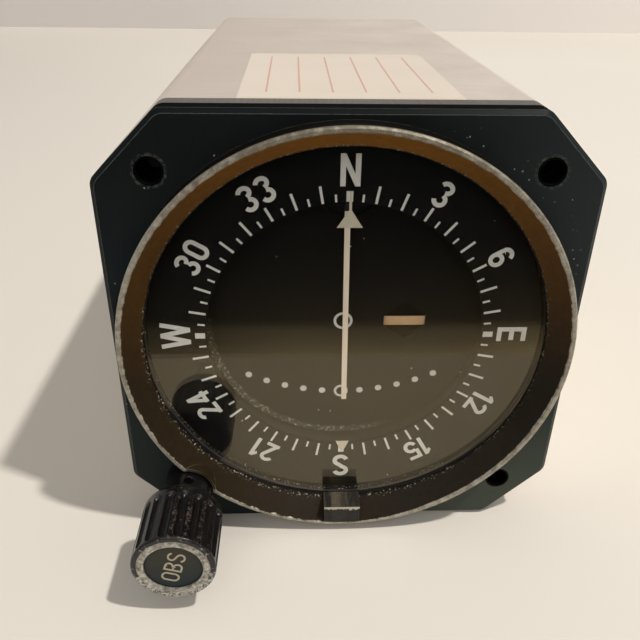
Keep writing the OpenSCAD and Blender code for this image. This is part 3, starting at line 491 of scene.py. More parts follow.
@finish("ring_black", "ring coat", Specular_IOR_Level=0.06)
def ring_coat(tree, shader):
    radius = effect(tree, ROUND)["Radius"]
    axes = where(tree)
    across, height = axes["X"], axes["Z"]
    ragged = noise(object_place(tree), 800.0, 6.0, 0.75)
    fine = noise(object_place(tree), 2600.0, 3.0, 0.6)
    low_left = ramp(plus(across, height), -30 * MM, -52 * MM, 1.0, LOW_LEFT_CHIPS)
    low_right = toward(tree, *RING_LOW_RIGHT)
    depth = times(low_left, ramp(low_right, 0.0, 1.0, RAGGED_DEPTH, SMOOTH_DEPTH))
    shift = times(minus(ragged, 0.5), depth)
    ragged_y = plus(axes["Y"], shift)
    front = ramp(ragged_y, BAND_BACK - BAND_SOFT, BAND_BACK + BAND_SOFT, 1.0, 0.0)
    band_in = ramp(height, -20 * MM, 20 * MM, BAND_IN_LOW, BAND_IN_TOP)
    band_in = minus(band_in, times(low_right, BAND_IN_MORE))
    wider = ramp(low_left, 1.0, LOW_LEFT_CHIPS, 0.0, LOW_LEFT_WIDER)
    inward = minus(plus(plus(radius, shift), wider), band_in)
    bare = times(front, ramp(inward, -BAND_SOFT, BAND_SOFT))

    low_wall = blend(ramp(across, -26 * MM, 16 * MM), CONE_LEFT, CONE_RIGHT)
    aside = times(calc("ABSOLUTE", across), 0.6)
    # Painted reflection: the wall turns redder towards the top.
    warm_reflection = ramp(minus(height, aside), -28 * MM, 34 * MM)
    wall = blend(warm_reflection, low_wall, CONE_TOP_REFLECTION)
    near_glass = plus(radius, times(shift, 1.2))
    # The wall is painted black in a band next to the glass, and darker in random patches.
    by_glass = ramp(near_glass, GLASS_EDGE + 2 * BAND_SOFT, GLASS_EDGE - 2 * BAND_SOFT)
    darkening = most(by_glass, ramp(ragged, 0.35, 0.7, 0.0, 0.35))
    # Painted highlights: pale glints along the glass edge, fewer to the right.
    border = calc("ABSOLUTE", minus(near_glass, GLASS_EDGE))
    along_border = ramp(border, 0.0, GLINTS_REACH, 0.07, 0.0)
    glinting = ramp(plus(fine, along_border), 0.63, 0.69)
    glints = times(ramp(border, 2.5 * GLINTS_REACH, GLINTS_REACH), glinting)
    glints = times(glints, ramp(across, 14 * MM, 24 * MM, 1.0, 0.3))
    clouded = blend(glints, blend(darkening, wall, RING_BLACK), RING_GLINT)
    outside = ramp(radius, RING_OUTSIDE, RING_OUTSIDE + BAND_SOFT)
    painted = blend(outside, clouded, RING_BLACK)
    edge = effect(tree, EDGE_WEAR_AND_GLINT, Width=0.2 * MM, Breakup=1800.0, Amount=0.9)
    # Painted highlights on the edges away from the glass.
    rubbed = times(edge["Mask"], ramp(radius, GLINT_FROM_R, GLINT_TO_R, 0.0, 0.6))
    painted = blend(rubbed, painted, RING_GLINT)

    # Painted shade: the bare metal is duller towards the top.
    ring_top_shade = ramp(height, 22 * MM, 36 * MM, 0.0, 0.13)
    polish = ramp(minus(ragged, ring_top_shade), 0.32, 0.62)
    metal = blend(polish, BARE_DULL, BARE_METAL)
    coarse = plus(bare, times(fine, 0.3))
    feed(
        shader,
        Base_Color=blend(bare, painted, metal),
        Metallic=times(bare, 0.55),
        Roughness=ramp(coarse, 0.0, 1.3, 0.5, 0.55),
    )
    bump(shader, times(fine, bare), 0.025 * MM)


# %% [markdown]
# The small block on the ring is plain. Its black coat is worn at the edges, and a painted
# silvery-brown sheen lies in streaks on its top and faintly on its front. A pale ragged line
# runs along the upper edge of its front.

# %% Block
BLOCK_DARK, BLOCK_LIGHT = shade(8, 7, 6), shade(28, 25, 20)
BLOCK_WORN_AND_SHEEN, BLOCK_EDGE = shade(112, 103, 86), shade(176, 170, 154)
LINE_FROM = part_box("badge_block")[1].z + 0.6 * MM
LINE_SOFT, LINE_RAGGED = 0.1 * MM, 2.4 * MM


@finish("block_black", "block coat", Specular_IOR_Level=0.3)
def block_coat(tree, shader):
    edge = effect(tree, EDGE_WEAR_AND_GLINT, Width=0.3 * MM, Breakup=2600.0, Amount=0.38)
    cloud = clouds(tree, BLOCK_DARK, BLOCK_LIGHT, 900.0, 0.2)
    facets = effect(tree, STREAKS, Grain=(1.0, 0.1, 0.1), Scale=420.0)["Value"]
    patches = noise(object_place(tree), 1500.0, 5.0, 0.7)
    top = ramp(facing(tree)["Z"], 0.3, 0.6)
    # Painted sheen: silvery-brown streaks, strong on the top and faint on the front.
    shine = times(ramp(facets, 0.44, 0.6, 0.05, 0.75), ramp(patches, 0.36, 0.56, 0.5, 1.0))
    silvery_sheen = times(ramp(top, 0.0, 1.0, 0.12, 0.9), shine)
    raised = plus(where(tree)["Z"], times(patches, LINE_RAGGED))
    line = times(ramp(raised, LINE_FROM, LINE_FROM + LINE_SOFT), ramp(top, 1.0, 0.0))
    worn = most(silvery_sheen, edge["Mask"])
    tone = blend(worn, cloud["Color"], BLOCK_WORN_AND_SHEEN)
    feed(
        shader,
        Base_Color=blend(line, tone, BLOCK_EDGE),
        Metallic=times(silvery_sheen, 0.6),
        Roughness=ramp(worn, 0.0, 1.0, 0.5, 0.36),
    )
    bump(shader, cloud["Value"], 0.04 * MM, edge["Normal"])


# %% [markdown]
# Glass needs little more than clear, constant values. Tiny specks of dust are rougher and
# catch the light. Light has to reach the dial behind the glass, so it casts no shadow: a
# shadow ray would stop at it, though real light goes through.

# %% Glass
CLEAR = {
    "Transmission_Weight": 1.0, "IOR": 1.56, "Metallic": 0.0,
    "Base_Color": (0.985, 0.985, 0.97, 1.0), "Specular_Tint": (1.0, 0.85, 0.55, 1.0),
}


@finish("lens", "lens", **CLEAR)
def lens(tree, shader):
    dust = effect(tree, SPECKLE, Scale=420.0, Size=0.05, Share=0.14)["Mask"]
    feed(shader, Roughness=ramp(dust, 0.0, 1.0, 0.0, 0.7))


nodes["lens_glass"].visible_shadow = False

# %% [markdown]
# The card and the mask are black. Paint this dark still scatters a little light. The edge
# of the mask is scuffed at the lower left, where the paint has rubbed through, and a faint
# painted highlight lies along it there. The print on the dial and the index on the glass are
# plain off-white paints.

# %% Dial paints
DIAL_BLACK, DIAL_CLOUD = shade(17, 17, 17), shade(21, 20, 19)
MASK_BLACK = shade(19, 18, 16)
SCUFF_AND_SHEEN = shade(196, 189, 176)
SCUFF_FROM_R, SCUFF_TO_R = 24.5 * MM, 25.2 * MM
SCUFF_SLANT, SCUFF_FROM, SCUFF_TO = 1.4, -22 * MM, -36 * MM
PRINT_WHITE, PRINT_SHADE = shade(232, 228, 217), shade(220, 215, 203)
INDEX_WHITE, INDEX_SHADE = shade(216, 206, 180), shade(202, 190, 164)


@finish("card_black", "card paint", Roughness=0.42, Specular_IOR_Level=0.07)
def card_paint(tree, shader):
    cloud = clouds(tree, DIAL_BLACK, DIAL_CLOUD, 300.0)
    feed(shader, Base_Color=cloud["Color"])
    bump(shader, noise(object_place(tree), 6000.0), 0.003 * MM)


@finish("mask_black", "mask paint", Roughness=0.42, Specular_IOR_Level=0.07)
def mask_paint(tree, shader):
    axes = where(tree)
    rubbed = noise(object_place(tree), 1800.0, 6.0, 0.75)
    near_rim = ramp(effect(tree, ROUND)["Radius"], SCUFF_FROM_R, SCUFF_TO_R)
    slanted = plus(axes["X"], times(axes["Z"], SCUFF_SLANT))
    low_left = ramp(slanted, SCUFF_FROM, SCUFF_TO)
    # Painted highlight: a faint pale band along the rim at the lower left, with the scuffs on it.
    flaked_and_sheen = ramp(rubbed, 0.55, 0.61, 0.1, 1.0)
    scuffs_and_sheen = times(times(near_rim, low_left), flaked_and_sheen)
    feed(shader, Base_Color=blend(scuffs_and_sheen, MASK_BLACK, SCUFF_AND_SHEEN))
    bump(shader, times(rubbed, scuffs_and_sheen), 0.03 * MM)


finishes["dial_white"] = clouded_paint("print paint", PRINT_WHITE, PRINT_SHADE, 700.0, 0.25, Roughness=0.6)
finishes["index_paint"] = clouded_paint("index paint", INDEX_WHITE, INDEX_SHADE, 900.0, Roughness=0.55)

# %% [markdown]
# The needle is cream where it crosses the dial. Its upper end, near the pivot, is painted
# black so that it can't be seen against the mask. The flag is black with amber patches.

# %% Needle and flag
NEEDLE_CREAM, NEEDLE_SHADE = shade(255, 237, 212), shade(248, 228, 200)
NEEDLE_BLACK_FROM, NEEDLE_BLACK_TO = 22.2 * MM, 22.3 * MM
FLAG_BLACK, FLAG_CLOUD = shade(6, 5, 4), shade(11, 9, 7)
FLAG_AMBER, FLAG_SHADE = shade(226, 186, 138), shade(204, 162, 114)
FLAG_MATTE = {"Roughness": 0.65, "Specular_IOR_Level": 0.05}


@finish("needle_cream", "needle paint", Roughness=0.5)
def needle_paint(tree, shader):
    cloud = clouds(tree, NEEDLE_CREAM, NEEDLE_SHADE, 400.0)
    top = ramp(where(tree)["Z"], NEEDLE_BLACK_FROM, NEEDLE_BLACK_TO)
    feed(shader, Base_Color=blend(top, cloud["Color"], DIAL_BLACK))


finishes["flag_black"] = clouded_paint("flag paint", FLAG_BLACK, FLAG_CLOUD, 800.0, **FLAG_MATTE)
finishes["flag_amber"] = clouded_paint("flag amber", FLAG_AMBER, FLAG_SHADE, 900.0, Roughness=0.55)

# %% [markdown]
# The knob is gloss black moulding. Handling has rubbed the ribs on its right side down to a
# reddish brown, its front is chipped low down, and dust sits in the pits. Bright painted
# highlights lie on the edges of the shoulder behind the ribs. The ring on its front is bare,
# pitted metal. The disc inside that ring is a dark blue-green grey, browner at the top, with
# painted shade all round its edge, where it sits below the ring.

# %% Knob
KNOB_CENTRE = (-29.7 * MM, 0.0, -29.7 * MM)
KNOB_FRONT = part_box("obs_knob")[0].y
KNOB_RIBS_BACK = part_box("obs_knob")[0].y + 10.6 * MM
KNOB_BLACK, KNOB_DUST = shade(12, 10, 11), shade(110, 102, 96)
KNOB_WORN, KNOB_WORN_PALE = shade(56, 42, 37), shade(100, 88, 76)
KNOB_BARE_AND_GLINT, KNOB_PIT = shade(176, 172, 164), shade(62, 58, 54)
METAL_DARK, METAL_LIGHT, METAL_PIT = shade(104, 100, 91), shade(200, 196, 186), shade(58, 52, 48)
CAP_BLUE, CAP_GREY = shade(15, 28, 33), shade(21, 34, 38)
CAP_BROWN, CAP_EDGE_SHADE = shade(50, 48, 34), shade(5, 6, 7)
CREST_FROM_R, CREST_TO_R = 6.8 * MM, 7.1 * MM
SHOULDER_GLINT_FROM_R, SHOULDER_GLINT_TO_R = 4.8 * MM, 5.2 * MM
EDGE_SHADE_FROM_R, EDGE_SHADE_TO_R = 4.4 * MM, 4.9 * MM
CHIP_RAGGED, CHIP_HIGH, CHIP_LOW = 1.6 * MM, -0.3 * MM, 0.35 * MM


@finish("knob_black", "knob gloss", Coat_Weight=0.15, Specular_IOR_Level=0.4)
def knob_gloss(tree, shader):
    round_knob = effect(tree, ROUND, Centre=KNOB_CENTRE)
    radius, angle = round_knob["Radius"], round_knob["Angle"]
    axes = where(tree)
    edge = effect(tree, EDGE_WEAR_AND_GLINT, Width=0.2 * MM, Breakup=1500.0, Amount=0.6)
    coarse = noise(object_place(tree), 900.0, 6.0, 0.75)
    fine = noise(object_place(tree), 2600.0, 5.0, 0.7)

    crest = ramp(radius, CREST_FROM_R, CREST_TO_R)
    right_side = times(ramp(angle, 0.12, 0.3), ramp(angle, 0.62, 0.52))
    on_ribs = ramp(axes["Y"], KNOB_RIBS_BACK, KNOB_RIBS_BACK - 0.8 * MM)
    patchy = times(ramp(coarse, 0.47, 0.57), ramp(fine, 0.42, 0.56))
    rubbed = times(times(crest, times(right_side, on_ribs)), patchy)
    worn_tone = blend(ramp(fine, 0.5, 0.65), KNOB_WORN, KNOB_WORN_PALE)
    dust = effect(tree, SPECKLE, Scale=1300.0, Size=0.2, Share=0.1)["Mask"]
    base = blend(times(dust, 0.5), KNOB_BLACK, KNOB_DUST)
    coated = blend(rubbed, base, worn_tone)
    # Painted highlight: bright arcs on the edges of the shoulder behind the ribs.
    behind_ribs = ramp(axes["Y"], KNOB_RIBS_BACK, KNOB_RIBS_BACK + 1.0 * MM)
    shoulder_glint = times(behind_ribs, ramp(radius, SHOULDER_GLINT_FROM_R, SHOULDER_GLINT_TO_R))
    coated = blend(times(edge["Mask"], shoulder_glint), coated, KNOB_BARE_AND_GLINT)

    ragged_y = plus(axes["Y"], times(minus(coarse, 0.5), CHIP_RAGGED))
    height = minus(axes["Z"], KNOB_CENTRE[2])
    reach = ramp(height, -1 * MM, -4 * MM, CHIP_HIGH, CHIP_LOW)
    chip_depth = minus(minus(ragged_y, reach), KNOB_FRONT)
    chipped = ramp(chip_depth, 0.2 * MM, 0.1 * MM)
    bare = blend(ramp(fine, 0.44, 0.54), KNOB_PIT, KNOB_BARE_AND_GLINT)
    dull = most(most(rubbed, chipped), times(fine, 0.25))
    feed(
        shader,
        Base_Color=blend(chipped, coated, bare),
        Roughness=ramp(dull, 0.05, 1.0, 0.2, 0.6),
    )
    bump(shader, fine, 0.03 * MM, edge["Normal"])


@finish("knob_bright", "knob metal", Metallic=0.5)
def knob_metal(tree, shader):
    fine = noise(object_place(tree), 2600.0, 5.0, 0.75)
    cloud = clouds(tree, METAL_DARK, METAL_LIGHT, 1100.0, 0.16)
    pits = ramp(fine, 0.43, 0.38)
    feed(
        shader,
        Base_Color=blend(pits, cloud["Color"], METAL_PIT),
        Roughness=ramp(fine, 0.3, 0.7, 0.35, 0.6),
    )
    bump(shader, fine, 0.12 * MM)


@finish("cap_dark", "cap paint", Roughness=0.45, Specular_IOR_Level=0.25)
def cap_paint(tree, shader):
    height = ramp(minus(where(tree)["Z"], KNOB_CENTRE[2]), -4 * MM, 5 * MM)
    cloud = clouds(tree, CAP_BLUE, CAP_GREY, 500.0)
    radius = effect(tree, ROUND, Centre=KNOB_CENTRE)["Radius"]
    # Painted shade round the edge of the disc, which sits below the ring.
    darkening = ramp(radius, EDGE_SHADE_FROM_R, EDGE_SHADE_TO_R, 0.0, 0.85)
    tone = blend(height, cloud["Color"], CAP_BROWN)
    feed(shader, Base_Color=blend(darkening, tone, CAP_EDGE_SHADE))


# %% [markdown]
# The case is folded from brushed aluminium with a clear lacquer that has warmed with age.
# It has a few dull marks, and a painted reflection makes it paler to the right. The brushing
# runs across the case. The frame and the connector are brushed along it. The label is a
# satin cream foil.

# %% Case and label
CASE_WARM, CASE_COOL = shade(228, 213, 200), shade(221, 207, 194)
CASE_RIGHT_SHEEN, CASE_MARK = shade(254, 241, 228), shade(168, 156, 144)
FRAME_GREY, FRAME_SHADE = shade(124, 120, 112), shade(100, 97, 92)
CONNECTOR_GREY, CONNECTOR_SHADE = shade(150, 150, 138), shade(118, 118, 108)
FOIL_CREAM, FOIL_SHADE = shade(236, 222, 206), shade(229, 214, 198)
CASE_SHEEN_FROM, CASE_SHEEN_TO = -28 * MM, 14 * MM
ACROSS, ALONG = (0.02, 1.0, 0.02), (1.0, 0.05, 1.0)


def brushed(name, first, second, grain, roughness=0.34, hole_shade_radius=0.0, right=None):
    material, tree, shader = start_finish(name, Metallic=0.4)
    # Painted reflection: the case is paler to the right.
    if right:
        first = blend(ramp(where(tree)["X"], CASE_SHEEN_FROM, CASE_SHEEN_TO), first, right)
    lines = effect(tree, STREAKS, Grain=grain, Scale=3800.0)["Value"]
    cloud = clouds(tree, first, second, 60.0)
    edge = effect(tree, EDGE_WEAR_AND_GLINT, Width=0.3 * MM, Breakup=900.0, Amount=0.3)
    tone = blend(ramp(lines, 0.3, 0.7, 0.0, 0.35), cloud["Color"], second)
    # Painted shade round the screw holes, where the nuts sit.
    if hole_shade_radius:
        tone = blend(in_screw_hole(tree, hole_shade_radius), tone, HOLE_SHADE)
    marks = effect(tree, SPECKLE, Scale=240.0, Size=0.09, Share=0.12)["Mask"]
    feed(
        shader,
        Base_Color=blend(times(marks, 0.5), tone, CASE_MARK),
        Roughness=uneven(lines, 0.3, 0.7, roughness),
    )
    bump(shader, lines, 0.01 * MM, edge["Normal"])
    return material


finishes["case_metal"] = brushed("case metal", CASE_WARM, CASE_COOL, ACROSS, right=CASE_RIGHT_SHEEN)
finishes["frame_grey"] = brushed("frame grey", FRAME_GREY, FRAME_SHADE, ALONG, 0.5, NUT_PLACE_R)
finishes["connector_metal"] = brushed("connector metal", CONNECTOR_GREY, CONNECTOR_SHADE, ALONG, 0.4)


@finish("label_foil", "label foil", Roughness=0.4)
def label_foil(tree, shader):
    cloud = clouds(tree, FOIL_CREAM, FOIL_SHADE, 80.0)
    feed(shader, Base_Color=cloud["Color"])
    bump(shader, noise(object_place(tree), 900.0), 0.01 * MM)


# %% [markdown]
# The pieces inside are plain engineering finishes: steel, brass, milled aluminium, dark
# iron, lacquered laminate and moulded plastic. One function makes the metals and another
# the plastics. Each row gives a name, two colours, a roughness, and then a scale and how
# metallic it is where they aren't the usual ones.

# %% Inner finishes
def machined(name, first, second, roughness, scale=900.0, metallic=1.0, specular=0.5):
    material, tree, shader = start_finish(name, Metallic=metallic, Specular_IOR_Level=specular)
    cloud = clouds(tree, shade(*first), shade(*second), scale, 0.25)
    edge = effect(tree, EDGE_WEAR_AND_GLINT, Width=0.15 * MM, Breakup=900.0, Amount=0.3)
    feed(shader, Base_Color=cloud["Color"], Roughness=uneven(cloud["Value"], 0.0, 1.0, roughness))
    bump(shader, cloud["Value"], 0.01 * MM, edge["Normal"])
    return material


def moulded(name, first, second, roughness, scale=700.0):
    return machined(name, first, second, roughness, scale, metallic=0.0)


METALS = {
    # The first two rows are near-black: painted shade for parts that sit in shade, and black steel for the
    # knob's set screws.
    "blackened_steel": ("black steel and shade", (3, 3, 3), (6, 6, 6), 0.8, 900.0, 0.0, 0.03),
    "blackened_brass": ("brass painted as shade", (24, 21, 17), (34, 30, 24), 0.6, 900.0, 0.2),
    "steel": ("zinc steel", (176, 176, 174), (140, 140, 138), 0.36),
    "brass": ("turned brass", (190, 160, 92), (160, 130, 70), 0.32),
    "plate_aluminium": ("milled plate", (168, 170, 168), (150, 152, 150), 0.42, 300.0),
    "magnet_iron": ("dark iron", (84, 84, 88), (60, 60, 62), 0.5),
    "copper_wire": ("enamelled winding", (150, 80, 46), (120, 60, 34), 0.35, 2500.0, 0.5),
    "contact_gold": ("contact plating", (214, 178, 100), (196, 160, 84), 0.25),
}
PLASTICS = {
    # The movement plate is dressed with this row, as painted shade behind the pivot opening.
    "painted_plate": ("painted plate", (5, 5, 5), (8, 8, 8), 0.8),
    "rubber_black": ("gasket rubber", (26, 26, 26), (36, 36, 35), 0.8),
    "board_green": ("board laminate", (62, 84, 44), (50, 70, 38), 0.4, 200.0),
    "capacitor_blue": ("capacitor sleeve", (62, 84, 132), (50, 70, 116), 0.35),
    "component_tan": ("component lacquer", (168, 130, 88), (140, 104, 68), 0.35),
    "trimmer_blue": ("trimmer body", (36, 64, 140), (30, 54, 120), 0.4),
    "insert_black": ("connector insert", (30, 30, 30), (40, 40, 39), 0.5),
}
for slot, row in METALS.items():
    finishes[slot] = machined(*row)
for slot, row in PLASTICS.items():
    finishes[slot] = moulded(*row)
print("finishes:", len(finishes))

# %% [markdown]
# Each node of the imported model names a material slot in the record, so one loop dresses
# them all. The card and the mask share a slot, and each has its own paint here. The nuts,
# the card's bearing ring and the movement plate are dressed near-black as painted shade,
# for they sit in the screw holes and behind the pivot opening, and the knob's set screws
# are dressed black.

# %% Dress the nodes
BY_NODE = {
    "compass_card": "card_black",
    "mask_plate": "mask_black",
    # Painted shade for the nuts, the bearing ring and the movement plate; the set screws are black.
    "mount_nuts": "blackened_steel",
    "knob_set_screws": "blackened_steel",
    "card_bearing_ring": "blackened_brass",
    "movement_plate": "painted_plate",
}


def dress(node, finish_name):
    for slot in nodes[node].material_slots:
        slot.link = "OBJECT"
        slot.material = finishes[finish_name]


for row in frame["record"]["subparts"]:
    dress(row["node"], BY_NODE.get(row["node"], row["material_slot"]))

# %% [markdown]
# The index marks are printed on the back of the glass, so their fronts and the glass's back
# lie in one plane, and a renderer can't tell which of the two it meets first. The ink is
# drawn in by a hundredth of a millimetre on all sides.

# %% Ink of the index marks
INK_SHRINK = 0.01 * MM


def shrink(node, by):
    weld = nodes[node].modifiers.new("weld", "WELD")
    weld.merge_threshold = by / 100
    draw_in = nodes[node].modifiers.new("shrink", "DISPLACE")
    draw_in.mid_level = 0.0
    draw_in.strength = -by
    print(node, "drawn in by mm:", by / MM)


shrink("index_marks", INK_SHRINK)

# %% [markdown]
# The dial's characters are printed, with strokes of one width and square ends. Each is
# drawn here as a few strokes in a box one unit high: straight runs and arcs. A stroke
# becomes a strip of quads, and the strips are merged with Blender's own triangulation, so
# that a letter is one clean flat plate with no faces on top of each other.

# %% Characters as strokes
def arc(x, y, rx, ry, start, end, steps=14):
    """Points along an ellipse, from one angle in degrees to another."""
    angles = [math.radians(start + (end - start) * k / steps) for k in range(steps + 1)]
    return [(x + rx * math.cos(a), y + ry * math.sin(a)) for a in angles]


def glyphs(s):
    """Strokes of each character for a stroke width s. A character's box is (width, strokes)."""
    h = s / 2
    top, mid = 1 - h, 0.5
    w = 0.58
    left = h
    cx, rx = w / 2, w / 2 - h
    upper, lower = 0.745, 0.275
    ru, rl = top - upper, lower - h
    oval = arc(cx, top - rx, rx, rx, 180, 0) + arc(cx, h + rx, rx, rx, 0, -180)
    return {
        "0": (w, [oval + oval[:1]]),
        "1": (0.32, [[(0.32 - h, 0), (0.32 - h, 1)], [(0.0, 0.76), (0.32 - h, 0.94)]]),
        "2": (w, [arc(cx, upper, rx, ru, 170, -32) + [(left + 0.02, h)], [(0, h), (w, h)]]),
        "3": (w, [arc(cx, upper, rx, ru, 165, -82), arc(cx, lower, rx, rl, 82, -165)]),
        "4": (w, [[(0.42, 0), (0.42, 1)], [(0.40, 1 - h), (h, 0.27)], [(0, 0.27), (w, 0.27)]]),
        "5": (w, [[(left, 1), (left, 0.5)], [(0, 1 - h), (w - 0.02, 1 - h)],
                  arc(cx - 0.01, 0.315, rx + 0.01, 0.315 - h, 130, -165)]),
        "6": (w, [arc(cx, 0.3, rx, 0.3 - h, 0, 360, 24),
                  [(left, 0.3), (left, 0.7)] + arc(cx, 0.7, rx, top - 0.7, 180, 20)]),
        "N": (0.61, [[(h, 0), (h, 1)], [(0.61 - h, 0), (0.61 - h, 1)], [(h, 1), (0.61 - h, 0)]]),
        "E": (0.54, [[(h, 0), (h, 1)], [(0, top), (0.54, top)],
                     [(0, mid), (0.5, mid)], [(0, h), (0.54, h)]]),
        "W": (1.0, [[(h, 1), (0.27, 0)], [(0.27, 0), (0.5, 1)],
                    [(0.5, 1), (0.73, 0)], [(0.73, 0), (1 - h, 1)]]),
        "S": (0.6, [arc(0.3, upper, 0.3 - h, ru, 15, 250) + arc(0.3, lower, 0.3 - h, rl, 70, -165)]),
        "O": (0.6, [arc(0.3, top - 0.3 + h, 0.3 - h, 0.3 - h, 180, 0)
                    + arc(0.3, 0.3, 0.3 - h, 0.3 - h, 0, -180) + [(h, top - 0.3 + h)]]),
        "B": (0.58, [[(h, 0), (h, 1)],
                     [(0, top), (0.3, top)] + arc(0.3, 0.75, 0.28 - h, top - 0.75, 90, -90),
                     [(0, mid), (0.3, mid)]
                     + arc(0.3, 0.25 + h / 2, 0.28 - h, 0.25 - h / 2, 90, -90) + [(0, h)]]),
    }


def strip(points, width):
    """Left and right sides of a stroke along points, mitred where it turns."""
    closed = (Vector(points[0]) - Vector(points[-1])).length < 1e-6
    spots = [Vector(p) for p in points[:-1]] if closed else [Vector(p) for p in points]
    sides = []
    for k, spot in enumerate(spots):
        before = spots[k - 1] if closed or k else None
        after = spots[(k + 1) % len(spots)] if closed or k < len(spots) - 1 else None
        pairs = [(a, b) for a, b in ((before, spot), (spot, after)) if a is not None and b is not None]
        runs = [(b - a).normalized() for a, b in pairs]
        along = sum(runs, Vector((0, 0))).normalized()
        across = Vector((-along.y, along.x))
        reach = width / 2 / max(0.4, along.dot(runs[0]))
        sides.append((spot + across * reach, spot - across * reach))
    return sides + sides[:1] if closed else sides


def covers(quad, spot):
    """Whether a convex quad, its corners in either order, holds a point."""
    turns = [(b - a).cross(spot - a) for a, b in zip(quad, quad[1:] + quad[:1])]
    return min(turns) > 0 or max(turns) < 0


def middle(corners):
    return sum(corners, Vector((0, 0))) / len(corners)


def merged(strokes, width):
    """One flat triangulation of all strokes, as 2D points and triangles."""
    quads = []
    for stroke in strokes:
        sides = strip(stroke, width)
        quads += [[a, b, d, c] for (a, b), (c, d) in zip(sides, sides[1:])]
    points = [corner for quad in quads for corner in quad]
    edges = [(4 * k + a, 4 * k + (a + 1) % 4) for k in range(len(quads)) for a in range(4)]
    flat, _, triangles, *_ = delaunay_2d_cdt(points, edges, [], 0, 1e-5)
    spots = [middle([flat[k] for k in triangle]) for triangle in triangles]
    inked = [any(covers(quad, spot) for quad in quads) for spot in spots]
    return flat, [triangle for triangle, ink in zip(triangles, inked) if ink]


print("characters:", "".join(glyphs(0.16)))

# %% [markdown]
# A plate needs a thickness to be a real solid. Each triangulation is lifted to a front and
# a back, and its border is joined by walls. The words are set with the tops outward.

# %% Printing on a plane
PRINT_T = 0.05 * MM


def new_piece(name, verts, faces, material):
    mesh = bpy.data.meshes.new(name)
    mesh.from_pydata(verts, [], faces)
    mesh.materials.append(material)
    piece = bpy.data.objects.new(name, mesh)
    bpy.context.scene.collection.objects.link(piece)
    print(name, "faces:", len(mesh.polygons))
    return piece


def plates(name, pieces, y_front, material):
    """Flat plates facing -Y. Each of the pieces is (2D points in metres, triangles)."""
    verts, faces = [], []
    for points, triangles in pieces:
        n, base = len(points), len(verts)
        verts += [(p.x, y_front, p.y) for p in points]
        verts += [(p.x, y_front + PRINT_T, p.y) for p in points]
        edges = {}
        for a, b, c in triangles:
            faces.append((base + a, base + b, base + c))
            faces.append((base + n + c, base + n + b, base + n + a))
            for edge in ((a, b), (b, c), (c, a)):
                edges[edge] = True
        border = [(a, b) for a, b in edges if (b, a) not in edges]
        faces += [(base + a, base + n + a, base + n + b, base + b) for a, b in border]
    piece = new_piece(name, verts, faces, material)
    piece.data.validate()
    return piece


def word(text, height, stroke, gap, place, turn):
    """Plates of a word. Its foot's middle is at place, and turn is in degrees, clockwise."""
    drawn = glyphs(stroke / height)
    widths = [drawn[c][0] * height for c in text]
    across = -(sum(widths) + gap * (len(text) - 1)) / 2
    angle = -math.radians(turn)
    pieces = []
    for c, width in zip(text, widths):
        points, triangles = merged(drawn[c][1], stroke / height)
        moved = []
        for p in points:
            x = across + min(max(p.x, 0.0), drawn[c][0]) * height
            z = min(max(p.y, 0.0), 1.0) * height
            moved.append(Vector((
                place[0] + x * math.cos(angle) - z * math.sin(angle),
                place[1] + x * math.sin(angle) + z * math.cos(angle),
            )))
        pieces.append((moved, triangles))
        across += width + gap
    return pieces


# %% [markdown]
# The card carries a letter or a number every thirty degrees, with its foot to the middle.
# They are printed in the same white as the ticks, and turn with the card.

# %% Characters of the compass card
CARD_WORDS = ["N", "3", "6", "E", "12", "15", "S", "21", "24", "W", "30", "33"]
LETTER_H, LETTER_STROKE, LETTER_FOOT = 5.4 * MM, 0.88 * MM, 27.9 * MM
NUMBER_H, NUMBER_STROKE, NUMBER_FOOT = 4.65 * MM, 0.76 * MM, 28.3 * MM
NUMBER_GAP = 0.62 * MM


def print_card():
    pieces = []
    for k, text in enumerate(CARD_WORDS):
        turn = 30 * k
        letter = text in "NESW"
        foot = LETTER_FOOT if letter else NUMBER_FOOT
        place = (foot * math.sin(math.radians(turn)), foot * math.cos(math.radians(turn)))
        height, stroke = (LETTER_H, LETTER_STROKE) if letter else (NUMBER_H, NUMBER_STROKE)
        pieces += word(text, height, stroke, NUMBER_GAP, place, turn)
    card_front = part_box("compass_card")[0].y
    piece = plates("card_characters", pieces, card_front - PRINT_T, finishes["dial_white"])
    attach(piece, "card")


print_card()

# %% [markdown]
# The knob's disc carries three letters in dull cream, which stand nearly on end in the
# photo, because the knob is turned. They ride with the knob.

# %% Legend on the knob
LEGEND_CREAM, LEGEND_SHADE = shade(172, 161, 140), shade(148, 138, 118)
OBS_H, OBS_STROKE, OBS_GAP, OBS_TURN = 3.15 * MM, 0.33 * MM, 0.5 * MM, -73


def print_knob():
    paint = clouded_paint("legend paint", LEGEND_CREAM, LEGEND_SHADE, 900.0, Roughness=0.5)
    angle = -math.radians(OBS_TURN)
    foot = (KNOB_CENTRE[0] + OBS_H / 2 * math.sin(angle), KNOB_CENTRE[2] - OBS_H / 2 * math.cos(angle))
    pieces = word("OBS", OBS_H, OBS_STROKE, OBS_GAP, foot, OBS_TURN)
    piece = plates("knob_legend", pieces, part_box("knob_cap")[0].y - PRINT_T, paint)
    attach(piece, "knob")


print_knob()

# %% [markdown]
# The label is a blank form: a few red ruled lines run along the case, with nothing written.
# Each line is a thin bar that lies on the foil.

# %% Ruled lines on the label
RULE_RED, RULE_FADED = shade(214, 160, 146), shade(222, 178, 164)
RULE_COUNT, RULE_W, RULE_T, RULE_MARGIN = 6, 0.3 * MM, 0.02 * MM, 4.5 * MM


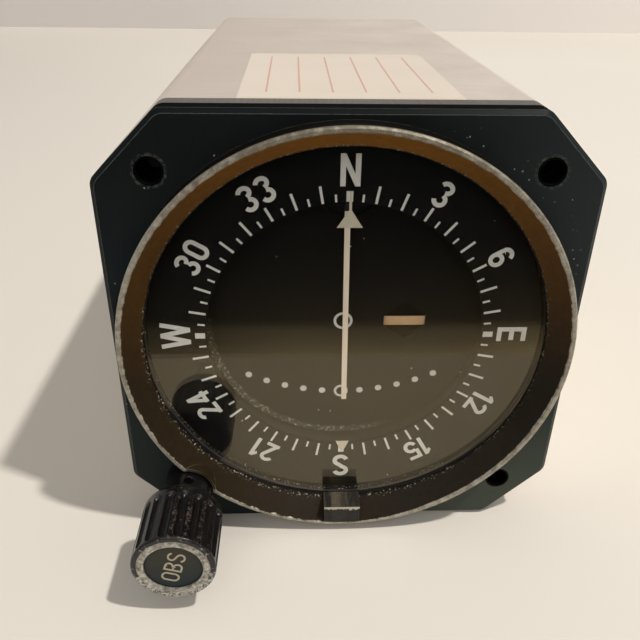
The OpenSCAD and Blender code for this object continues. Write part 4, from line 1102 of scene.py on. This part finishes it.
def rule_label():
    ink = clouded_paint("line ink", RULE_RED, RULE_FADED, 900.0, Roughness=0.5)
    low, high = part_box("case_label")
    near, far = low.y + RULE_MARGIN, high.y - RULE_MARGIN
    verts, faces = [], []
    step = (high.x - low.x - 2 * RULE_MARGIN) / (RULE_COUNT - 1)
    for k in range(RULE_COUNT):
        left = low.x + RULE_MARGIN + step * k - RULE_W / 2
        right = left + RULE_W
        base = len(verts)
        for z in (high.z, high.z + RULE_T):
            verts += [(left, near, z), (right, near, z), (right, far, z), (left, far, z)]
        faces += [(base + 4, base + 5, base + 6, base + 7), (base + 3, base + 2, base + 1, base)]
        sides = ((0, 1), (1, 2), (2, 3), (3, 0))
        faces += [(base + a, base + b, base + b + 4, base + a + 4) for a, b in sides]
    piece = new_piece("label_lines", verts, faces, ink)
    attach(piece, "root")


rule_label()

# %% [markdown]
# The indicator stands on a pale table with a pale wall far behind. Painted light makes both
# paler to the right, and painted shade dims the table towards the wall.

# %% Table and wall
TABLE_Z = cad_low.z
TABLE_NEAR, TABLE_FAR, TABLE_END = shade(228, 221, 211), shade(244, 237, 226), shade(231, 224, 214)
WALL_LEFT, WALL_RIGHT = shade(213, 207, 203), shade(238, 233, 228)
TABLE_HALF, TABLE_BACK, TABLE_DIMS, WALL_H = 2.0, 0.85, 0.25, 0.25
TABLE_GAP = 0.02 * MM


def flat_stage(name, half, near, far, material):
    """A flat rectangle from its near edge's (y, z) to its far edge's, as wide as two halves."""
    corners = [(-half, *near), (half, *near), (half, *far), (-half, *far)]
    plane = new_piece(name, corners, [(0, 1, 2, 3)], material)
    return plane


def painted_light_finish(name, first, second, start, end, depth_share, far=None):
    """Paint with painted light on it, going from one tone to another, from start to end in metres to the
    right.
    """
    material, tree, shader = start_finish(name, Roughness=0.75)
    axes = where(tree)
    along = plus(axes["X"], times(axes["Y"], depth_share))
    tone = blend(ramp(along, start, end), first, second)
    if far:
        tone = blend(ramp(axes["Y"], TABLE_BACK - TABLE_DIMS, TABLE_BACK), tone, far)
    feed(shader, Base_Color=tone)
    return material


def make_table():
    z = TABLE_Z - TABLE_GAP
    # Painted light: the table is paler to the right and further back, and painted shade dims it towards
    # the wall.
    top = painted_light_finish("table top", TABLE_NEAR, TABLE_FAR, -0.08, 0.24, 0.35, TABLE_END)
    flat_stage("table", TABLE_HALF, (-TABLE_HALF, z), (TABLE_BACK, z), top)
    # Painted light: the wall is paler to the right.
    paint = painted_light_finish("wall paint", WALL_LEFT, WALL_RIGHT, -0.15, 0.5, 0.0)
    flat_stage("wall", TABLE_HALF, (TABLE_BACK, z), (TABLE_BACK, z + WALL_H), paint)


make_table()

# %% [markdown]
# The glass mirrors what lies in front of the indicator: pale table close by, and a dark
# room beyond it. A photographer would lay a dark card there. This one is a glowing sheet that
# paints that reflection, seen by reflections alone. It glows in a band of tones that darken
# away from the indicator, and it is dimmer to the left and a little brighter at the far right.

# %% Reflection glow
GLOW_NEAR, GLOW_FAR, GLOW_HALF = -60 * MM, -1.5, 1.2
GLOW_LIFT = 0.3 * MM
TONES_TO = -0.2
GLOW_TONES = [
    (0.0, 0.75), (0.02, 0.66), (0.055, 0.45), (0.09, 0.39), (0.115, 0.27),
    (0.137, 0.10), (0.18, 0.072), (0.34, 0.036), (0.584, 0.009), (1.0, 0.001),
]
WARM = (1.0, 0.86, 0.62)
DIM_LEFT = (-45 * MM, -8 * MM, 0.45, 1.0)
BRIGHT_RIGHT = (38 * MM, 60 * MM, 1.0, 1.35)


def make_reflection_glow():
    material = bpy.data.materials.new("dark card")
    material.use_nodes = True
    tree = material.node_tree
    tree.nodes.remove(tree.nodes["Principled BSDF"])
    axes = where(tree)
    tones = put(tree, "ValToRGB", {"Fac": ramp(axes["Y"], GLOW_NEAR, TONES_TO)})
    band = tones.color_ramp
    for k, (spot, level) in enumerate(GLOW_TONES):
        point = band.elements[k] if k < 2 else band.elements.new(spot)
        point.position = spot
        point.color = (*(level * share for share in WARM), 1.0)
    strength = times(ramp(axes["X"], *DIM_LEFT), ramp(axes["X"], *BRIGHT_RIGHT))
    glow = put(tree, "Emission", {"Color": tones.outputs["Color"], "Strength": strength})
    tree.links.new(glow.outputs[0], tree.nodes["Material Output"].inputs["Surface"])
    z = TABLE_Z + GLOW_LIFT
    card = flat_stage("dark_card", GLOW_HALF, (GLOW_FAR, z), (GLOW_NEAR, z), material)
    card.visible_camera = card.visible_diffuse = card.visible_shadow = False


make_reflection_glow()

# %% [markdown]
# The shadows in the photo are short, fall to the left and have fairly sharp edges, so the
# main light is a small lamp high up on the right, slightly in front. A real glass turns most
# of its shallow light away from the dial, so the lamp leaves the dial's pieces out. A large
# weak lamp in front lights the dial, and the world fills in the rest.

# %% Lights
BEHIND_GLASS = ("compass_card", "card_ticks", "mask_plate", "mask_marks", "index_marks",
                "deviation_needle", "flag_vane", "flag_patches")
KEY_PLACE, KEY_AIM, KEY_SIZE, KEY_POWER = (1.68, -0.80, 3.5), (0.0, 0.0, -0.04), 0.15, 102.0
FRONT_PLACE, FRONT_AIM, FRONT_SIZE, FRONT_POWER = (-0.1, -0.75, 0.45), (0.0, 0.0, 0.0), 0.7, 2.0
KEY_COLOUR, FRONT_COLOUR = (1.0, 0.965, 0.915), (1.0, 0.97, 0.92)


def lamp(name, place, aim, size, power, colour):
    data = bpy.data.lights.new(name, "AREA")
    data.size, data.energy, data.color = size, power, colour
    light = bpy.data.objects.new(name, data)
    light.location = place
    light.rotation_euler = (Vector(aim) - Vector(place)).to_track_quat("-Z", "Y").to_euler()
    bpy.context.scene.collection.objects.link(light)
    print(name, "power", power)
    return light


def keep_from_dial(light):
    left_out = bpy.data.collections.new("left out of the key light")
    for name in BEHIND_GLASS:
        left_out.objects.link(nodes[name])
    left_out.objects.link(bpy.data.objects["card_characters"])
    for entry in left_out.collection_objects:
        entry.light_linking.link_state = "EXCLUDE"
    light.light_linking.receiver_collection = left_out


keep_from_dial(lamp("key", KEY_PLACE, KEY_AIM, KEY_SIZE, KEY_POWER, KEY_COLOUR))
lamp("front", FRONT_PLACE, FRONT_AIM, FRONT_SIZE, FRONT_POWER, FRONT_COLOUR)

# %% [markdown]
# The world is an even light that dims overhead, so the table's top and the case don't get
# more light from straight above than they have in the photo.

# %% World
ROOM_COLOUR = shade(238, 237, 234)
ROOM_LOW, ROOM_HIGH = 0.1, 0.45
ROOM_SIDES, ROOM_ABOVE = 0.75, 0.38


def make_world():
    world = bpy.data.worlds.new("room")
    world.use_nodes = True
    tree = world.node_tree
    up = split(put(tree, "TexCoord").outputs["Generated"])["Z"]
    background = tree.nodes["Background"]
    background.inputs["Color"].default_value = ROOM_COLOUR
    strength = ramp(up, ROOM_LOW, ROOM_HIGH, ROOM_SIDES, ROOM_ABOVE)
    tree.links.new(strength, background.inputs["Strength"])
    bpy.context.scene.world = world
    print("room light:", ROOM_SIDES, "at the sides,", ROOM_ABOVE, "above")


make_world()
bpy.context.scene.view_settings.view_transform = "Standard"
